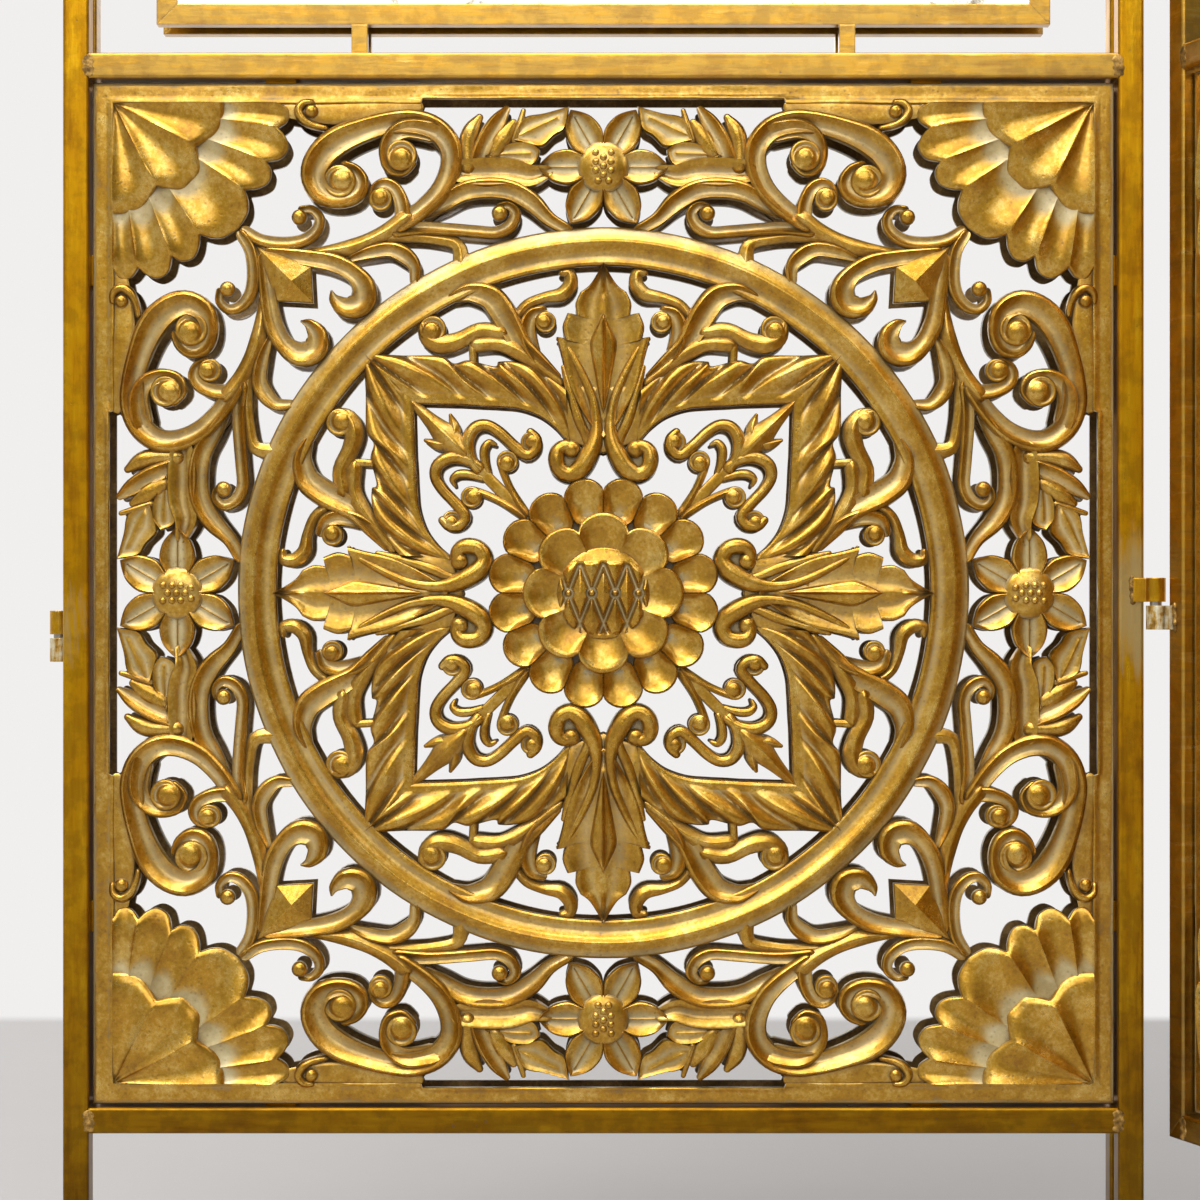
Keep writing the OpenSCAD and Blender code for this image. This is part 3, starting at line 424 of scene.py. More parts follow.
@dataclass
class CornerShells:
    """The fluted shell in each corner, with a raised inner fan."""

    corner: float = 490.0
    rim: list[list[Place]] = field(default_factory=lambda: [
        [(324, 490), (316, 485), (314, 478), (317, 471), (325, 465)],
        [(325, 465), (318, 457), (315, 446), (322, 435), (336, 431)],
        [(336, 431), (332, 422), (335, 411), (345, 405), (358, 403)],
        [(358, 403), (355, 392), (356, 380), (365, 365)]])
    fan: list[list[Place]] = field(default_factory=lambda: [
        [(378, 489), (380, 472), (388, 458), (406, 446)],
        [(406, 446), (403, 432), (403, 420), (411, 411)]])

    def edge(self, runs: list[list[Place]]) -> Array:
        """Return one side's outline from the border to the axis, with its mirror image."""
        half = smoothed(runs, runs[-1][-1])
        return np.vstack([half, half[-2::-1, ::-1]])

    def flutes(self, outline: Array, cusps: list[Place]) -> Array:
        """Return for each outline point how far it is between two creases, as 0 at a crease and 1 midway."""
        def angle(p: Array) -> Array:
            return np.arctan2(self.corner - p[..., 1], self.corner - p[..., 0])
        marks = np.sort(angle(np.array(cusps + [(y, x) for x, y in cusps], float)))
        at = angle(outline)
        slot = np.clip(np.searchsorted(marks, at) - 1, 0, len(marks) - 2)
        part = np.clip((at - marks[slot]) / (marks[slot + 1] - marks[slot]), 0, 1)
        return np.sin(math.pi * part) ** 0.8

    def relief(self) -> Relief:
        """Return the four shells."""
        one = Relief()
        self.press(one, self.edge(self.rim), [(324, 490), (325, 465), (336, 431), (358, 403)], [
            (1.0, 0.2, 0.0), (0.62, 0.4, 0.05), (0.54, 0.8, 0.1), (0.47, 1.3, 0.05), (0.4, 1.9, 0.0),
            (0.33, 2.5, 0.15), (0.26, 3.0, 0.6), (0.19, 3.4, 0.95), (0.12, 3.6, 1.0), (0.06, 3.4, 1.0),
            (0.025, 3.0, 1.0), (0.008, 2.4, 0.7), (0.0, 1.4, 0.3)], 2.1, 0.46)
        self.press(one, self.edge(self.fan), [(378, 490), (406, 446)], [
            (1.0, 1.4, 0.5), (0.86, 2.1, 0.8), (0.7, 3.0, 0.9), (0.5, 4.0, 1.0), (0.34, 4.6, 1.0),
            (0.2, 4.9, 1.0), (0.1, 4.7, 1.0), (0.04, 4.2, 1.0), (0.012, 3.5, 0.7), (0.0, 1.6, 0.2)], 1.9, 1.1)
        return one.copies(QUARTERS)

    def press(self, into: Relief, outline: Array, cusps: list[Place], levels: list[Level], depth: float,
              reach: float) -> None:
        """Press a fluted fan from its lobed rim to its corner.

        Args:
            into: relief that takes it.
            outline: lobed rim from one side of the corner to the other.
            cusps: where the creases meet one half of the rim.
            levels: share of the way to the corner, height and tone of each row.
            depth: how deep the flutes are hollowed near the rim.
            reach: share of the way to the corner at which the hollows have run out.
        """
        flute, foot = self.flutes(outline, cusps), into.foot()
        rows, tones = [], []
        for share, height, tone in [*levels, (0.0, foot, 0.0), (1.0, foot, 0.0)]:
            at = outline + (self.corner - outline) * share
            fade = max(0.0, 1 - share / reach) ** 0.6 * min(1.0, max(height, 0.0) / 3)
            rows.append(np.column_stack([at, height - depth * flute * fade]))
            tones.append(np.clip(tone * (1 - 0.12 * flute), 0, 1))
        into.lattice(np.array(rows), np.array(tones), round_rows=True)


@dataclass
class Studs:
    """The faceted stud on each corner's axis, under the shell."""

    corners: list[Place] = field(default_factory=lambda: [
        (348, 348), (320, 338), (292, 327), (291, 308), (290, 290), (308, 291), (327, 292), (338, 320)])
    crest: Place = (311.0, 311.0)

    def relief(self) -> Relief:
        """Return the four studs."""
        one = Relief(crease=16.0)
        one.mound(self.corners, self.crest, [
            (0.0, 0.5, 0.3), (0.05, 1.0, 0.9), (0.5, 2.5, 1.0), (1.0, 4.0, 1.0)])
        return one.copies(QUARTERS)


@dataclass
class Flowers:
    """The open flower at the middle of each side, with its seeded heart, and the leaves beside it."""

    middle: float = 426.0
    petal: list[Place] = field(default_factory=lambda: [(18, 11), (34, 18), (50, 15), (60, 7), (66, 0)])
    broad_leaf: list[list[Place]] = field(default_factory=lambda: [
        [(90, 453), (80, 475), (59, 480), (34, 487)],
        [(34, 487), (38, 465), (49, 457), (61, 446), (74, 449)]])
    low_leaf: list[list[Place]] = field(default_factory=lambda: [
        [(119, 437), (104, 445), (90, 451), (74, 451), (63, 443)],
        [(63, 443), (66, 433), (74, 427), (94, 432)]])
    broad_spine: tuple[Place, Place] = ((84, 458), (46, 476))
    low_spine: tuple[Place, Place] = ((108, 439), (72, 440))
    seeds: tuple[tuple[float, tuple[int, ...]], ...] = (
        (0.0, (0,)), (8.6, (30, 90, 150, 210, 270, 330)), (15.5, (60, 120, 250, 290)))

    def relief(self) -> Relief:
        """Return the four flowers and the leaves beside them."""
        one, sides = Relief(), Relief()
        half = blend_curve(self.petal, 4)
        outline = np.vstack([half, half[-2::-1] * (1, -1)])
        spine = np.column_stack([np.clip(outline[:, 0], 22, 58), np.zeros(len(outline))])
        for k in range(6):
            turn = turned(60 * k).T
            shift = np.array((0.0, self.middle))
            one.mound(outline @ turn + shift, spine @ turn + shift, [
                (0.0, 1.3, 0.3), (0.05, 2.3, 0.9), (0.14, 2.6, 1.0), (0.3, 2.0, 0.8), (0.5, 1.3, 0.4),
                (0.75, 0.8, 0.15), (0.92, 0.7, 0.15), (1.0, 1.1, 0.5)])
        one.knob(0, self.middle, 26, 2.6, 1.0)
        for reach, turns in self.seeds:
            for turn in np.radians(turns):
                x, y = reach * math.cos(turn), reach * math.sin(turn)
                one.knob(x, self.middle + y, 4.0, 1.6, 3.0 - 0.03 * reach)
        for leaf, ends in ((self.broad_leaf, self.broad_spine), (self.low_leaf, self.low_spine)):
            edge, (a, b) = smoothed(leaf), np.array(ends, float)
            along = np.clip(((edge - a) @ (b - a)) / ((b - a) @ (b - a)), 0, 1)
            sides.mound(edge, a + along[:, None] * (b - a), [
                (0.0, 0.9, 0.3), (0.1, 1.7, 1.0), (0.3, 1.2, 0.5), (0.65, 0.9, 0.2), (1.0, 1.3, 0.6)])
        whole = one.copies(QUARTERS)
        whole.take(sides.copies(EIGHTHS))
        return whole


@dataclass
class RingMoulding:
    """The round moulding that frames the middle: an outer slope, a sharp crest, a hollow and a lip."""

    section: list[Level] = field(default_factory=lambda: [
        (327, -SHEET_T, 0.0), (327, 1.2, 0.4), (328.5, 1.9, 1.0), (331, 1.9, 0.7), (335, 1.3, 0.3),
        (340, 1.5, 0.4), (345, 2.5, 0.75), (348.5, 3.5, 1.0), (351, 3.7, 1.0), (354, 3.1, 0.8),
        (359, 2.1, 0.35), (363, 1.4, 0.2), (365.5, 0.9, 0.4), (366, 0.3, 0.2), (366, -SHEET_T, 0.0),
        (349, 0.9, 0.0)])
    around: int = 160

    def relief(self) -> Relief:
        """Return the ring."""
        one = Relief()
        turn = np.linspace(0, 2 * math.pi, self.around, endpoint=False)[:, None]
        r, h, tone = (np.array(v)[None, :] for v in zip(*self.section))
        wave = 1 + 0.0009 * np.sin(5 * turn) + 0.0006 * np.sin(17 * turn + 1)
        rows = np.stack([r * wave * np.cos(turn), r * wave * np.sin(turn), h + 0 * turn], axis=-1)
        one.lattice(rows, np.repeat(tone, self.around, 0), round_rows=True, round_cols=True)
        return one


@dataclass
class GadroonBand:
    """The square band of slanting blades inside the ring, with a leaf where two sides meet."""

    outer: list[Place] = field(default_factory=lambda: [
        (242, 242), (224, 239), (194, 238), (162, 237), (149, 230), (134, 233), (109, 227), (104, 232),
        (86, 231), (64, 223), (38, 205)])
    inner: list[Place] = field(default_factory=lambda: [
        (189, 189), (176, 189), (158, 188.5), (140, 188), (124, 187), (104, 186), (84, 184), (64, 177),
        (49, 166), (39, 155), (34, 150)])
    blades: float = 5.6
    ridge: float = 0.64

    def relief(self) -> Relief:
        """Return the four sides of the band."""
        one = Relief()
        outer, inner = (blend_curve(side, 14) for side in (self.outer, self.inner))
        share = column(0.0, 0.03, 0.08, 0.14, 0.2, 0.27, 0.34, 0.41, 0.48, 0.55, 0.62, 0.69, 0.76, 0.83, 0.9,
                       0.96, 1.0)
        lay = column(0.5, 1.4, 2.1, 2.5, 2.7, 2.8, 2.8, 2.7, 2.5, 2.2, 1.9, 1.6, 1.35, 1.25, 1.3, 1.2, 0.5)
        place = outer[None] + (inner - outer)[None] * share[:, :, None]
        along = np.linspace(0, 1, len(outer))[None, :]
        phase = (self.blades * along - 1.15 * share + 0.3 * share ** 2) % 1.0
        down = 1 - self.ridge
        lean = np.where(phase < self.ridge, phase / self.ridge / 2, 0.5 + (phase - self.ridge) / down / 2)
        blade = np.sin(math.pi * lean) ** 0.8
        swell = np.clip(np.sin(math.pi * np.clip((share + 0.1) / 0.88, 0, 1)), 0, 1) ** 0.5
        height = lay + 3.2 * (blade - 0.7) * swell
        tone = np.clip(0.25 + 0.75 * blade * swell + 0.7 * (share > 0.78), 0, 1)
        low = np.dstack([place[[-1, 0]], np.full((2, len(outer)), -SHEET_T)])
        rows = np.concatenate([np.dstack([place, height]), low])
        one.lattice(rows, np.concatenate([tone, np.zeros((2, len(outer)))]), round_rows=True)
        return one.copies(EIGHTHS)


@dataclass
class Acanthus:
    """The upright leaf over the middle of each side of the band, with its spearhead and two volutes."""

    side: list[list[Place]] = field(default_factory=lambda: [
        [(0, 331), (6, 320), (14, 308), (23, 301)],
        [(23, 301), (28, 290), (27, 278)],
        [(27, 278), (36, 280)],
        [(36, 280), (41, 266), (38, 253)],
        [(38, 253), (47, 256)],
        [(47, 256), (42, 238), (36, 212), (25, 188), (12, 166), (0, 154)]])
    body: list[Place] = field(default_factory=lambda: [
        (0, 206), (20, 208), (39, 206), (40, 180), (35, 151), (20, 147), (0, 140)])
    rib: list[Stroke] = field(default_factory=lambda: [
        (46, 254, 3), (37, 247, 6), (27, 230, 8), (17, 210, 9), (9.5, 190, 10), (7, 168, 12),
        (9, 151, 17), (15, 137, 20), (23, 125, 20), (34, 119, 17), (44, 124, 17), (47, 134, 17),
        (45, 143, 15), (38, 147, 13), (32, 145, 12)])
    limb: list[Stroke] = field(default_factory=lambda: [
        (40, 226, 5), (35, 208, 9), (30, 190, 10), (24, 172, 11), (17, 156, 10), (14, 143, 8)])
    tongue: list[Place] = field(default_factory=lambda: [
        (0, 281), (6, 269), (12, 257), (14, 248), (12, 234), (9, 218), (6, 202), (3, 188), (0, 178)])
    eye: Stroke = (32.0, 144.0, 9.0)
    floor: Stroke = (35.0, 132.0, 19.0)

    def relief(self) -> Relief:
        """Return the four leaves."""
        one = Relief()
        trunk = mirrored(np.array(self.body, float))
        one.mound(trunk, stem(trunk, 160, 190), [
            (0.0, 0.9, 0.5), (0.1, 1.4, 0.6), (0.4, 1.2, 0.4), (1.0, 1.1, 0.4)])
        outline = mirrored(smoothed(self.side, self.side[-1][-1]))
        one.mound(outline, stem(outline, 176, 322, 8), [
            (0.0, 1.4, 0.5), (0.04, 2.5, 1.0), (0.1, 2.7, 1.0), (0.22, 2.0, 0.75), (0.4, 1.2, 0.5),
            (0.6, 0.9, 0.35), (0.82, 1.4, 0.55), (1.0, 2.0, 0.8)])
        blade = mirrored(blend_curve(self.tongue, 4))
        one.mound(blade, stem(blade, 186, 272), [
            (0.0, 0.8, 0.2), (0.12, 2.0, 0.6), (0.3, 2.9, 0.9), (0.5, 3.3, 1.0), (0.7, 3.4, 0.8),
            (0.86, 3.8, 0.9), (1.0, 4.6, 1.0)])
        (x, y, radius), (floor_x, floor_y, floor_r) = self.eye, self.floor
        for side in (-1, 1):
            one.mound(circle(20, floor_r, side * floor_x, floor_y), (side * floor_x, floor_y), [
                (0.0, 0.5, 0.3), (0.2, 0.6, 0.25), (1.0, 0.4, 0.15)])
            one.stroke([(side * a, b, w) for a, b, w in self.limb], Section.ROUND, 1.0, 0.8)
            one.stroke([(side * a, b, w) for a, b, w in self.rib], Section.ROUND, 1.15, 0.8)
            one.knob(side * x, y, radius, 2.9, 0.4)
        return one.copies(QUARTERS)


@dataclass
class Rosette:
    """Two rows of cupped petals round a seeded dome."""

    outer_count: int = 16
    outer_ring: float = 95.0
    outer_r: float = 21.0
    heel_in: float = 13.0
    inner_count: int = 8
    inner_tip: float = 81.0
    dome_r: float = 46.0
    mesh_w: float = 23.5
    mesh_h: float = 60.0
    pearl_r: float = 3.4
    bed: tuple[float, float] = (44.0, 37.0)

    def relief(self) -> Relief:
        """Return the rosette."""
        one = Relief()
        turn = np.linspace(0, 2 * math.pi, 28, endpoint=False)
        far = self.outer_ring + np.where(np.cos(turn) > 0, 1.04, 1.3) * self.outer_r * np.cos(turn)
        wide = math.tan(math.pi / self.outer_count) * 1.02 * far
        bowl = np.column_stack([far, np.clip(self.outer_r * 1.04 * np.sin(turn), -wide, wide)])
        heel = np.array((self.outer_ring - self.heel_in, 0.0))
        for k in range(self.outer_count):
            spin = turned(11.25 + 360 / self.outer_count * k).T
            one.mound(bowl @ spin, heel @ spin, [
                (0.0, 1.5, 0.6), (0.03, 2.6, 1.0), (0.07, 2.9, 1.0), (0.18, 2.1, 0.9), (0.34, 1.2, 0.8),
                (0.54, 0.5, 0.65), (0.76, 0.2, 0.45), (1.0, 0.2, 0.2)])
        one.mound(circle(64, heel[0]), (0.0, 0.0), [(share, 0.3, 0.0) for share in (0.0, 0.5, 1.0)])
        self.inner_row(one)
        self.dome(one)
        return one

    def inner_row(self, one: Relief) -> None:
        """Press the inner petals as one lobed cup."""
        turn = np.linspace(0, 2 * math.pi, 16 * self.inner_count, endpoint=False)[None, :]
        lobe = np.abs(np.cos(self.inner_count / 2 * (turn - math.pi / 2)))
        edge = self.inner_tip - 15 * (1 - lobe ** 0.62)
        share = column(0.0, 0.02, 0.05, 0.12, 0.24, 0.4, 0.6, 1.0)
        rise = column(2.6, 4.1, 4.4, 3.7, 2.5, 1.6, 1.2, 1.2)
        radius = edge * (1 - share)
        crease = (1 - lobe) ** 2 * np.clip(1 - share * 1.6, 0, 1)
        height = rise + 0.7 * crease - 0.5 * lobe * np.sin(math.pi * np.clip(share * 1.6, 0, 1))
        tone = column(0.5, 1.0, 1.0, 0.9, 0.8, 0.6, 0.35, 0.3) + 0 * turn
        foot = np.stack([edge * np.cos(turn), edge * np.sin(turn), 0 * turn + 0.3], axis=-1)
        middle = foot * (0.0, 0.0, 1.0)
        cup = np.stack([radius * np.cos(turn), radius * np.sin(turn), height], axis=-1)
        tone = np.concatenate([0 * tone[:2], tone])
        one.lattice(np.concatenate([middle, foot, cup]), tone, round_cols=True)

    def dome(self, one: Relief) -> None:
        """Press the dome with its lattice of pointed seeds."""
        turn = np.linspace(0, 2 * math.pi, 220, endpoint=False)[None, :]
        radius = self.dome_r * np.linspace(1, 0, 76)[:, None]
        x, y = radius * np.cos(turn), radius * np.sin(turn)
        body = 1.6 + 2.5 * np.sqrt(np.clip(1 - (radius / self.dome_r) ** 2, 0, 1)) ** 1.2
        a, b = x / self.mesh_w + y / self.mesh_h, x / self.mesh_w - y / self.mesh_h
        cell = 0.5 - np.maximum(np.abs(a - np.rint(a)), np.abs(b - np.rint(b)))
        seed = np.clip((cell - 0.05) / 0.12, 0, 1) ** 0.8 + 1.9 * cell
        off = np.hypot(((x / self.mesh_w) % 1 - 0.5) * self.mesh_w, y)
        pearl = 0.9 * np.sqrt(np.clip(1 - (off / self.pearl_r) ** 2, 0, 1))
        seed = np.where(off < 6, pearl, seed)
        high = np.clip((y + 5) / self.bed[1], -1.2, 1.2)
        inside = np.clip((1 - (x / self.bed[0]) ** 4 - high ** 4) * 3, 0, 1)
        height = body - (1.35 - 1.25 * seed) * inside
        tone = np.clip(1.0 - 0.95 * np.clip(1 - 1.6 * seed, 0, 1) * inside, 0, 1) + 0 * turn
        rows = np.stack([x, y, height + 0 * turn], axis=-1)
        low = np.concatenate([rows[-1:] * (0, 0, 0) + (0, 0, 1.0), rows[:1] * (1, 1, 0) + (0, 0, 1.0)])
        one.lattice(np.concatenate([low, rows]), np.concatenate([0 * tone[:2], tone]), round_cols=True)


@dataclass
class SheetBorder:
    """The flat border of the sheet, with a raised line along its inner edge and straight recesses."""

    edge: float = GRID_HALF
    inner: float = 489.5
    recess: float = 494.5
    recess_half: float = 182.0
    reach: float = 489.0

    def relief(self) -> Relief:
        """Return the border."""
        one = Relief()
        half = self.recess_half
        marks = np.concatenate([np.linspace(0, half - 1, 12), np.linspace(half + 1, self.reach, 20)])
        inner = np.where(marks < half, self.recess, self.inner)
        share = column(0.0, 0.03, 0.12, 0.24, 0.4, 0.6, 0.8, 0.94, 1.0)
        lift = column(0.2, 0.9, 1.0, 0.45, 0.35, 0.4, 0.35, 0.3, 0.0)
        y = inner + (self.edge - inner) * share
        x = marks * (1 + (y - inner) / self.reach * (marks / self.reach) ** 6)
        x[:, -1] = y[:, -1]
        bump = 0.12 * np.sin(marks / 31) * np.sin(math.pi * share) + 0.08 * np.sin(marks / 13 + 4 * share)
        rows = np.stack([x, y, lift + bump * (share > 0) * (share < 1)], axis=-1)
        tone = column(0.1, 0.9, 0.9, 0.55, 0.8, 0.9, 0.75, 0.15, 0.0) + 0 * x
        low = rows[[-1, 0]] * (1, 1, 0) + (0, 0, -SHEET_T)
        one.lattice(np.concatenate([rows, low]), np.concatenate([tone, 0 * tone[:2]]), round_rows=True)
        return one.copies(EIGHTHS)


@dataclass(frozen=True)
class Leaf:
    """One leaf of the screen: the body that it rides on and where it stands."""

    body: str
    prefix: str
    side: int = 0
    swing: float = 0.0

    def place(self) -> Matrix:
        """Return the matrix from the leaf's own coordinates to the shared frame, in metres."""
        foot = Matrix.Translation(Vector((LEAF_W / 2 - TUBE_W / 2, -TUBE_W / 2, 0)) * MM)
        if not self.side:
            return foot
        axis_y = -AXIS_OFF if self.side > 0 else TUBE_W + AXIS_OFF
        axis = Vector((self.side * (LEAF_W + BARREL_D) / 2, axis_y, 0)) * MM
        beside = Vector((self.side * (LEAF_W + BARREL_D), 0, 0)) * MM
        turn = Matrix.Rotation(math.radians(self.swing), 4, "Z")
        return foot @ Matrix.Translation(axis) @ turn @ Matrix.Translation(-axis) @ Matrix.Translation(beside)


LEAVES = [Leaf("centre_leaf", "centre"), Leaf("left_leaf", "left", -1, -180.0),
          Leaf("right_leaf", "right", 1, -RIGHT_SWING)]


def tint(red: int, green: int, blue: int) -> Colour:
    """Return a colour as shaders take it from its values of 0 to 255 on a screen."""
    def flat(value: int) -> float:
        share = value / 255
        return share / 12.92 if share <= 0.04045 else ((share + 0.055) / 1.055) ** 2.4
    return flat(red), flat(green), flat(blue), 1.0


def shade(value: float | tuple) -> Colour:
    """Return a shader's colour from a grey of 0 to 1, from screen values of 0 to 255, or as it is."""
    if not isinstance(value, tuple):
        return value, value, value, 1.0
    return tint(*value) if len(value) == 3 else value


class Value:
    """A value that a node tree works out, which takes the usual signs of arithmetic."""

    def __init__(self, graph: "Graph", socket: Socket) -> None:
        """Keep the tree and the output that gives the value."""
        self.graph, self.socket = graph, socket

    def __add__(self, other: "Value | float") -> "Value":
        """Return the sum."""
        return self.graph.math("ADD", self, other)

    def __sub__(self, other: "Value | float") -> "Value":
        """Return the difference."""
        return self.graph.math("SUBTRACT", self, other)

    def __mul__(self, other: "Value | float") -> "Value":
        """Return the product."""
        return self.graph.math("MULTIPLY", self, other)


class Graph:
    """The node tree of a material or of the world, and short ways to add to it."""

    def __init__(self, tree: bpy.types.NodeTree) -> None:
        """Keep the tree."""
        self.tree = tree

    def put(self, socket: Socket, value: Value | float | tuple) -> None:
        """Set an input from a number or colour, or link it from another node."""
        if isinstance(value, Value):
            self.tree.links.new(value.socket, socket)
        else:
            socket.default_value = shade(value) if socket.type == "RGBA" else value

    def add(self, kind: str, output: str | int, inputs: dict | None = None, **settings: object) -> Value:
        """Add a node.

        Args:
            kind: its type, without the first word that all such types share.
            output: the output to return.
            inputs: values or links for its inputs, by name or number.
            settings: its own settings.

        Returns:
            The value of the output.
        """
        made = self.tree.nodes.new(f"ShaderNode{kind}")
        for name, setting in settings.items():
            setattr(made, name, setting)
        for name, value in (inputs or {}).items():
            self.put(made.inputs[name], value)
        return Value(self, made.outputs[output])

    def math(self, way: str, first: Value | float, second: Value | float, clamp: bool = False) -> Value:
        """Return two values joined by one of the ways of the math node."""
        return self.add("Math", "Value", {0: first, 1: second}, operation=way, use_clamp=clamp)

    def vector(self, way: str, output: str, *inputs: Value | tuple) -> Value:
        """Return one output of the vector math node."""
        return self.add("VectorMath", output, dict(enumerate(inputs)), operation=way)

    def ramp(self, source: Value, *stops: Stop) -> Value:
        """Return the source spread over stops of colour or of a value."""
        made = self.add("ValToRGB", "Color", {"Fac": source})
        marks = made.socket.node.color_ramp.elements
        while len(marks) < len(stops):
            marks.new(0.5)
        for mark, (at, value) in zip(marks, stops):
            mark.position, mark.color = at, shade(value)
        return made

    def whiten(self, share: Value | float, gloss: Value | float, below: Socket, kind: str, out: str) -> None:
        """Show white in place of a shader, for camera, gloss and glass alone.

        Args:
            share: how far the white shows.
            gloss: how far glossy rays see it too.
            below: output of the shader that is there for light.
            kind: type of the node that gives the white.
            out: name of the tree's own output node.
        """
        glass = self.add("LightPath", "Is Transmission Ray")
        seen = self.math("MAXIMUM", self.add("LightPath", "Is Glossy Ray") * gloss, glass)
        seen = self.math("MAXIMUM", self.add("LightPath", "Is Camera Ray"), seen)
        white = self.add(kind, kind, {"Color": WHITE})
        mixed = self.add("MixShader", "Shader", {0: seen * share, 1: Value(self, below), 2: white})
        self.put(self.tree.nodes[out].inputs["Surface"], mixed)


class Paint(Graph):
    """A material under way."""

    def __init__(self, name: str) -> None:
        """Start the material with a plain shader."""
        self.material = bpy.data.materials.new(name)
        self.material.use_nodes = True
        super().__init__(self.material.node_tree)
        self.shader = self.tree.nodes["Principled BSDF"]
        self.place = self.add("TexCoord", "Object")

    def noise(self, scale: float, detail: float = 5.0, rough: float = 0.6,
              stretch: Spot = (1.0, 1.0, 1.0)) -> Value:
        """Return cloudy noise of about the given number of clouds a metre."""
        spread = self.add("Mapping", "Vector", {"Vector": self.place, "Scale": stretch})
        return self.add("TexNoise", "Fac", {
            "Vector": spread, "Scale": scale, "Detail": detail, "Roughness": rough})

    def cells(self, scale: float) -> Value:
        """Return the distance to the middle of the nearest of many scattered cells."""
        return self.add("TexVoronoi", "Distance", {"Vector": self.place, "Scale": scale})

    def along(self, axis: str) -> Value:
        """Return how far along an axis a place is, in metres."""
        return self.add("SeparateXYZ", axis, {"Vector": self.place})

    def near(self, spot: Spot) -> Value:
        """Return how far a place is from a spot, where a step up or down counts less."""
        apart = self.vector("SUBTRACT", "Vector", self.place, spot)
        return self.vector("LENGTH", "Value", self.vector("MULTIPLY", "Vector", apart, (1.0, 1.0, 0.42)))

    def mark(self, name: str) -> Value:
        """Return a value that the mesh carries."""
        return self.add("Attribute", "Fac", attribute_name=name)

    def mix(self, share: Value | float, first: Value | tuple, second: Value | float | tuple,
            way: str = "MIX") -> Value:
        """Return two colours mixed by a share."""
        return self.add("Mix", 2, {"Factor": share, 6: first, 7: second}, data_type="RGBA", blend_type=way)

    def bump(self, height: Value, strength: float, depth: float, radius: float = 0.0) -> Value:
        """Return the surface's direction, roughened by a height in metres, with its edges softened."""
        inputs = {"Height": height, "Strength": strength, "Distance": depth}
        if radius:
            inputs["Normal"] = self.rounded(radius)
        return self.add("Bump", "Normal", inputs)

    def rounded(self, radius: float) -> Value:
        """Return the surface's direction with its edges softened."""
        return self.add("Bevel", "Normal", {"Radius": radius})

    def edges(self, radius: float) -> Value:
        """Return 1 close to an edge and 0 away from it."""
        flat = self.add("NewGeometry", "Normal")
        same = self.vector("DOT_PRODUCT", "Value", self.rounded(radius), flat)
        return self.ramp(same, (0.8, 1.0), (0.995, 0.0))

    def hollows(self, reach: float) -> Value:
        """Return 1 deep in a crease or under an overhang and 0 in the open."""
        made = self.add("AmbientOcclusion", "AO", {"Distance": reach}, samples=3)
        return self.ramp(made, (0.35, 1.0), (0.82, 0.0))

    def finish(self, colour: Value | tuple, rough: Value | float, metal: Value | float, normal: Value,
               coat: tuple[float, float] | None = None) -> bpy.types.Material:
        """Join the parts to the shader, with a coat of a weight and roughness; return the material."""
        parts = {"Base Color": colour, "Roughness": rough, "Metallic": metal, "Normal": normal}
        if coat:
            parts |= {"Coat Weight": coat[0], "Coat Roughness": coat[1]}
        for name, value in parts.items():
            self.put(self.shader.inputs[name], value)
        return self.material


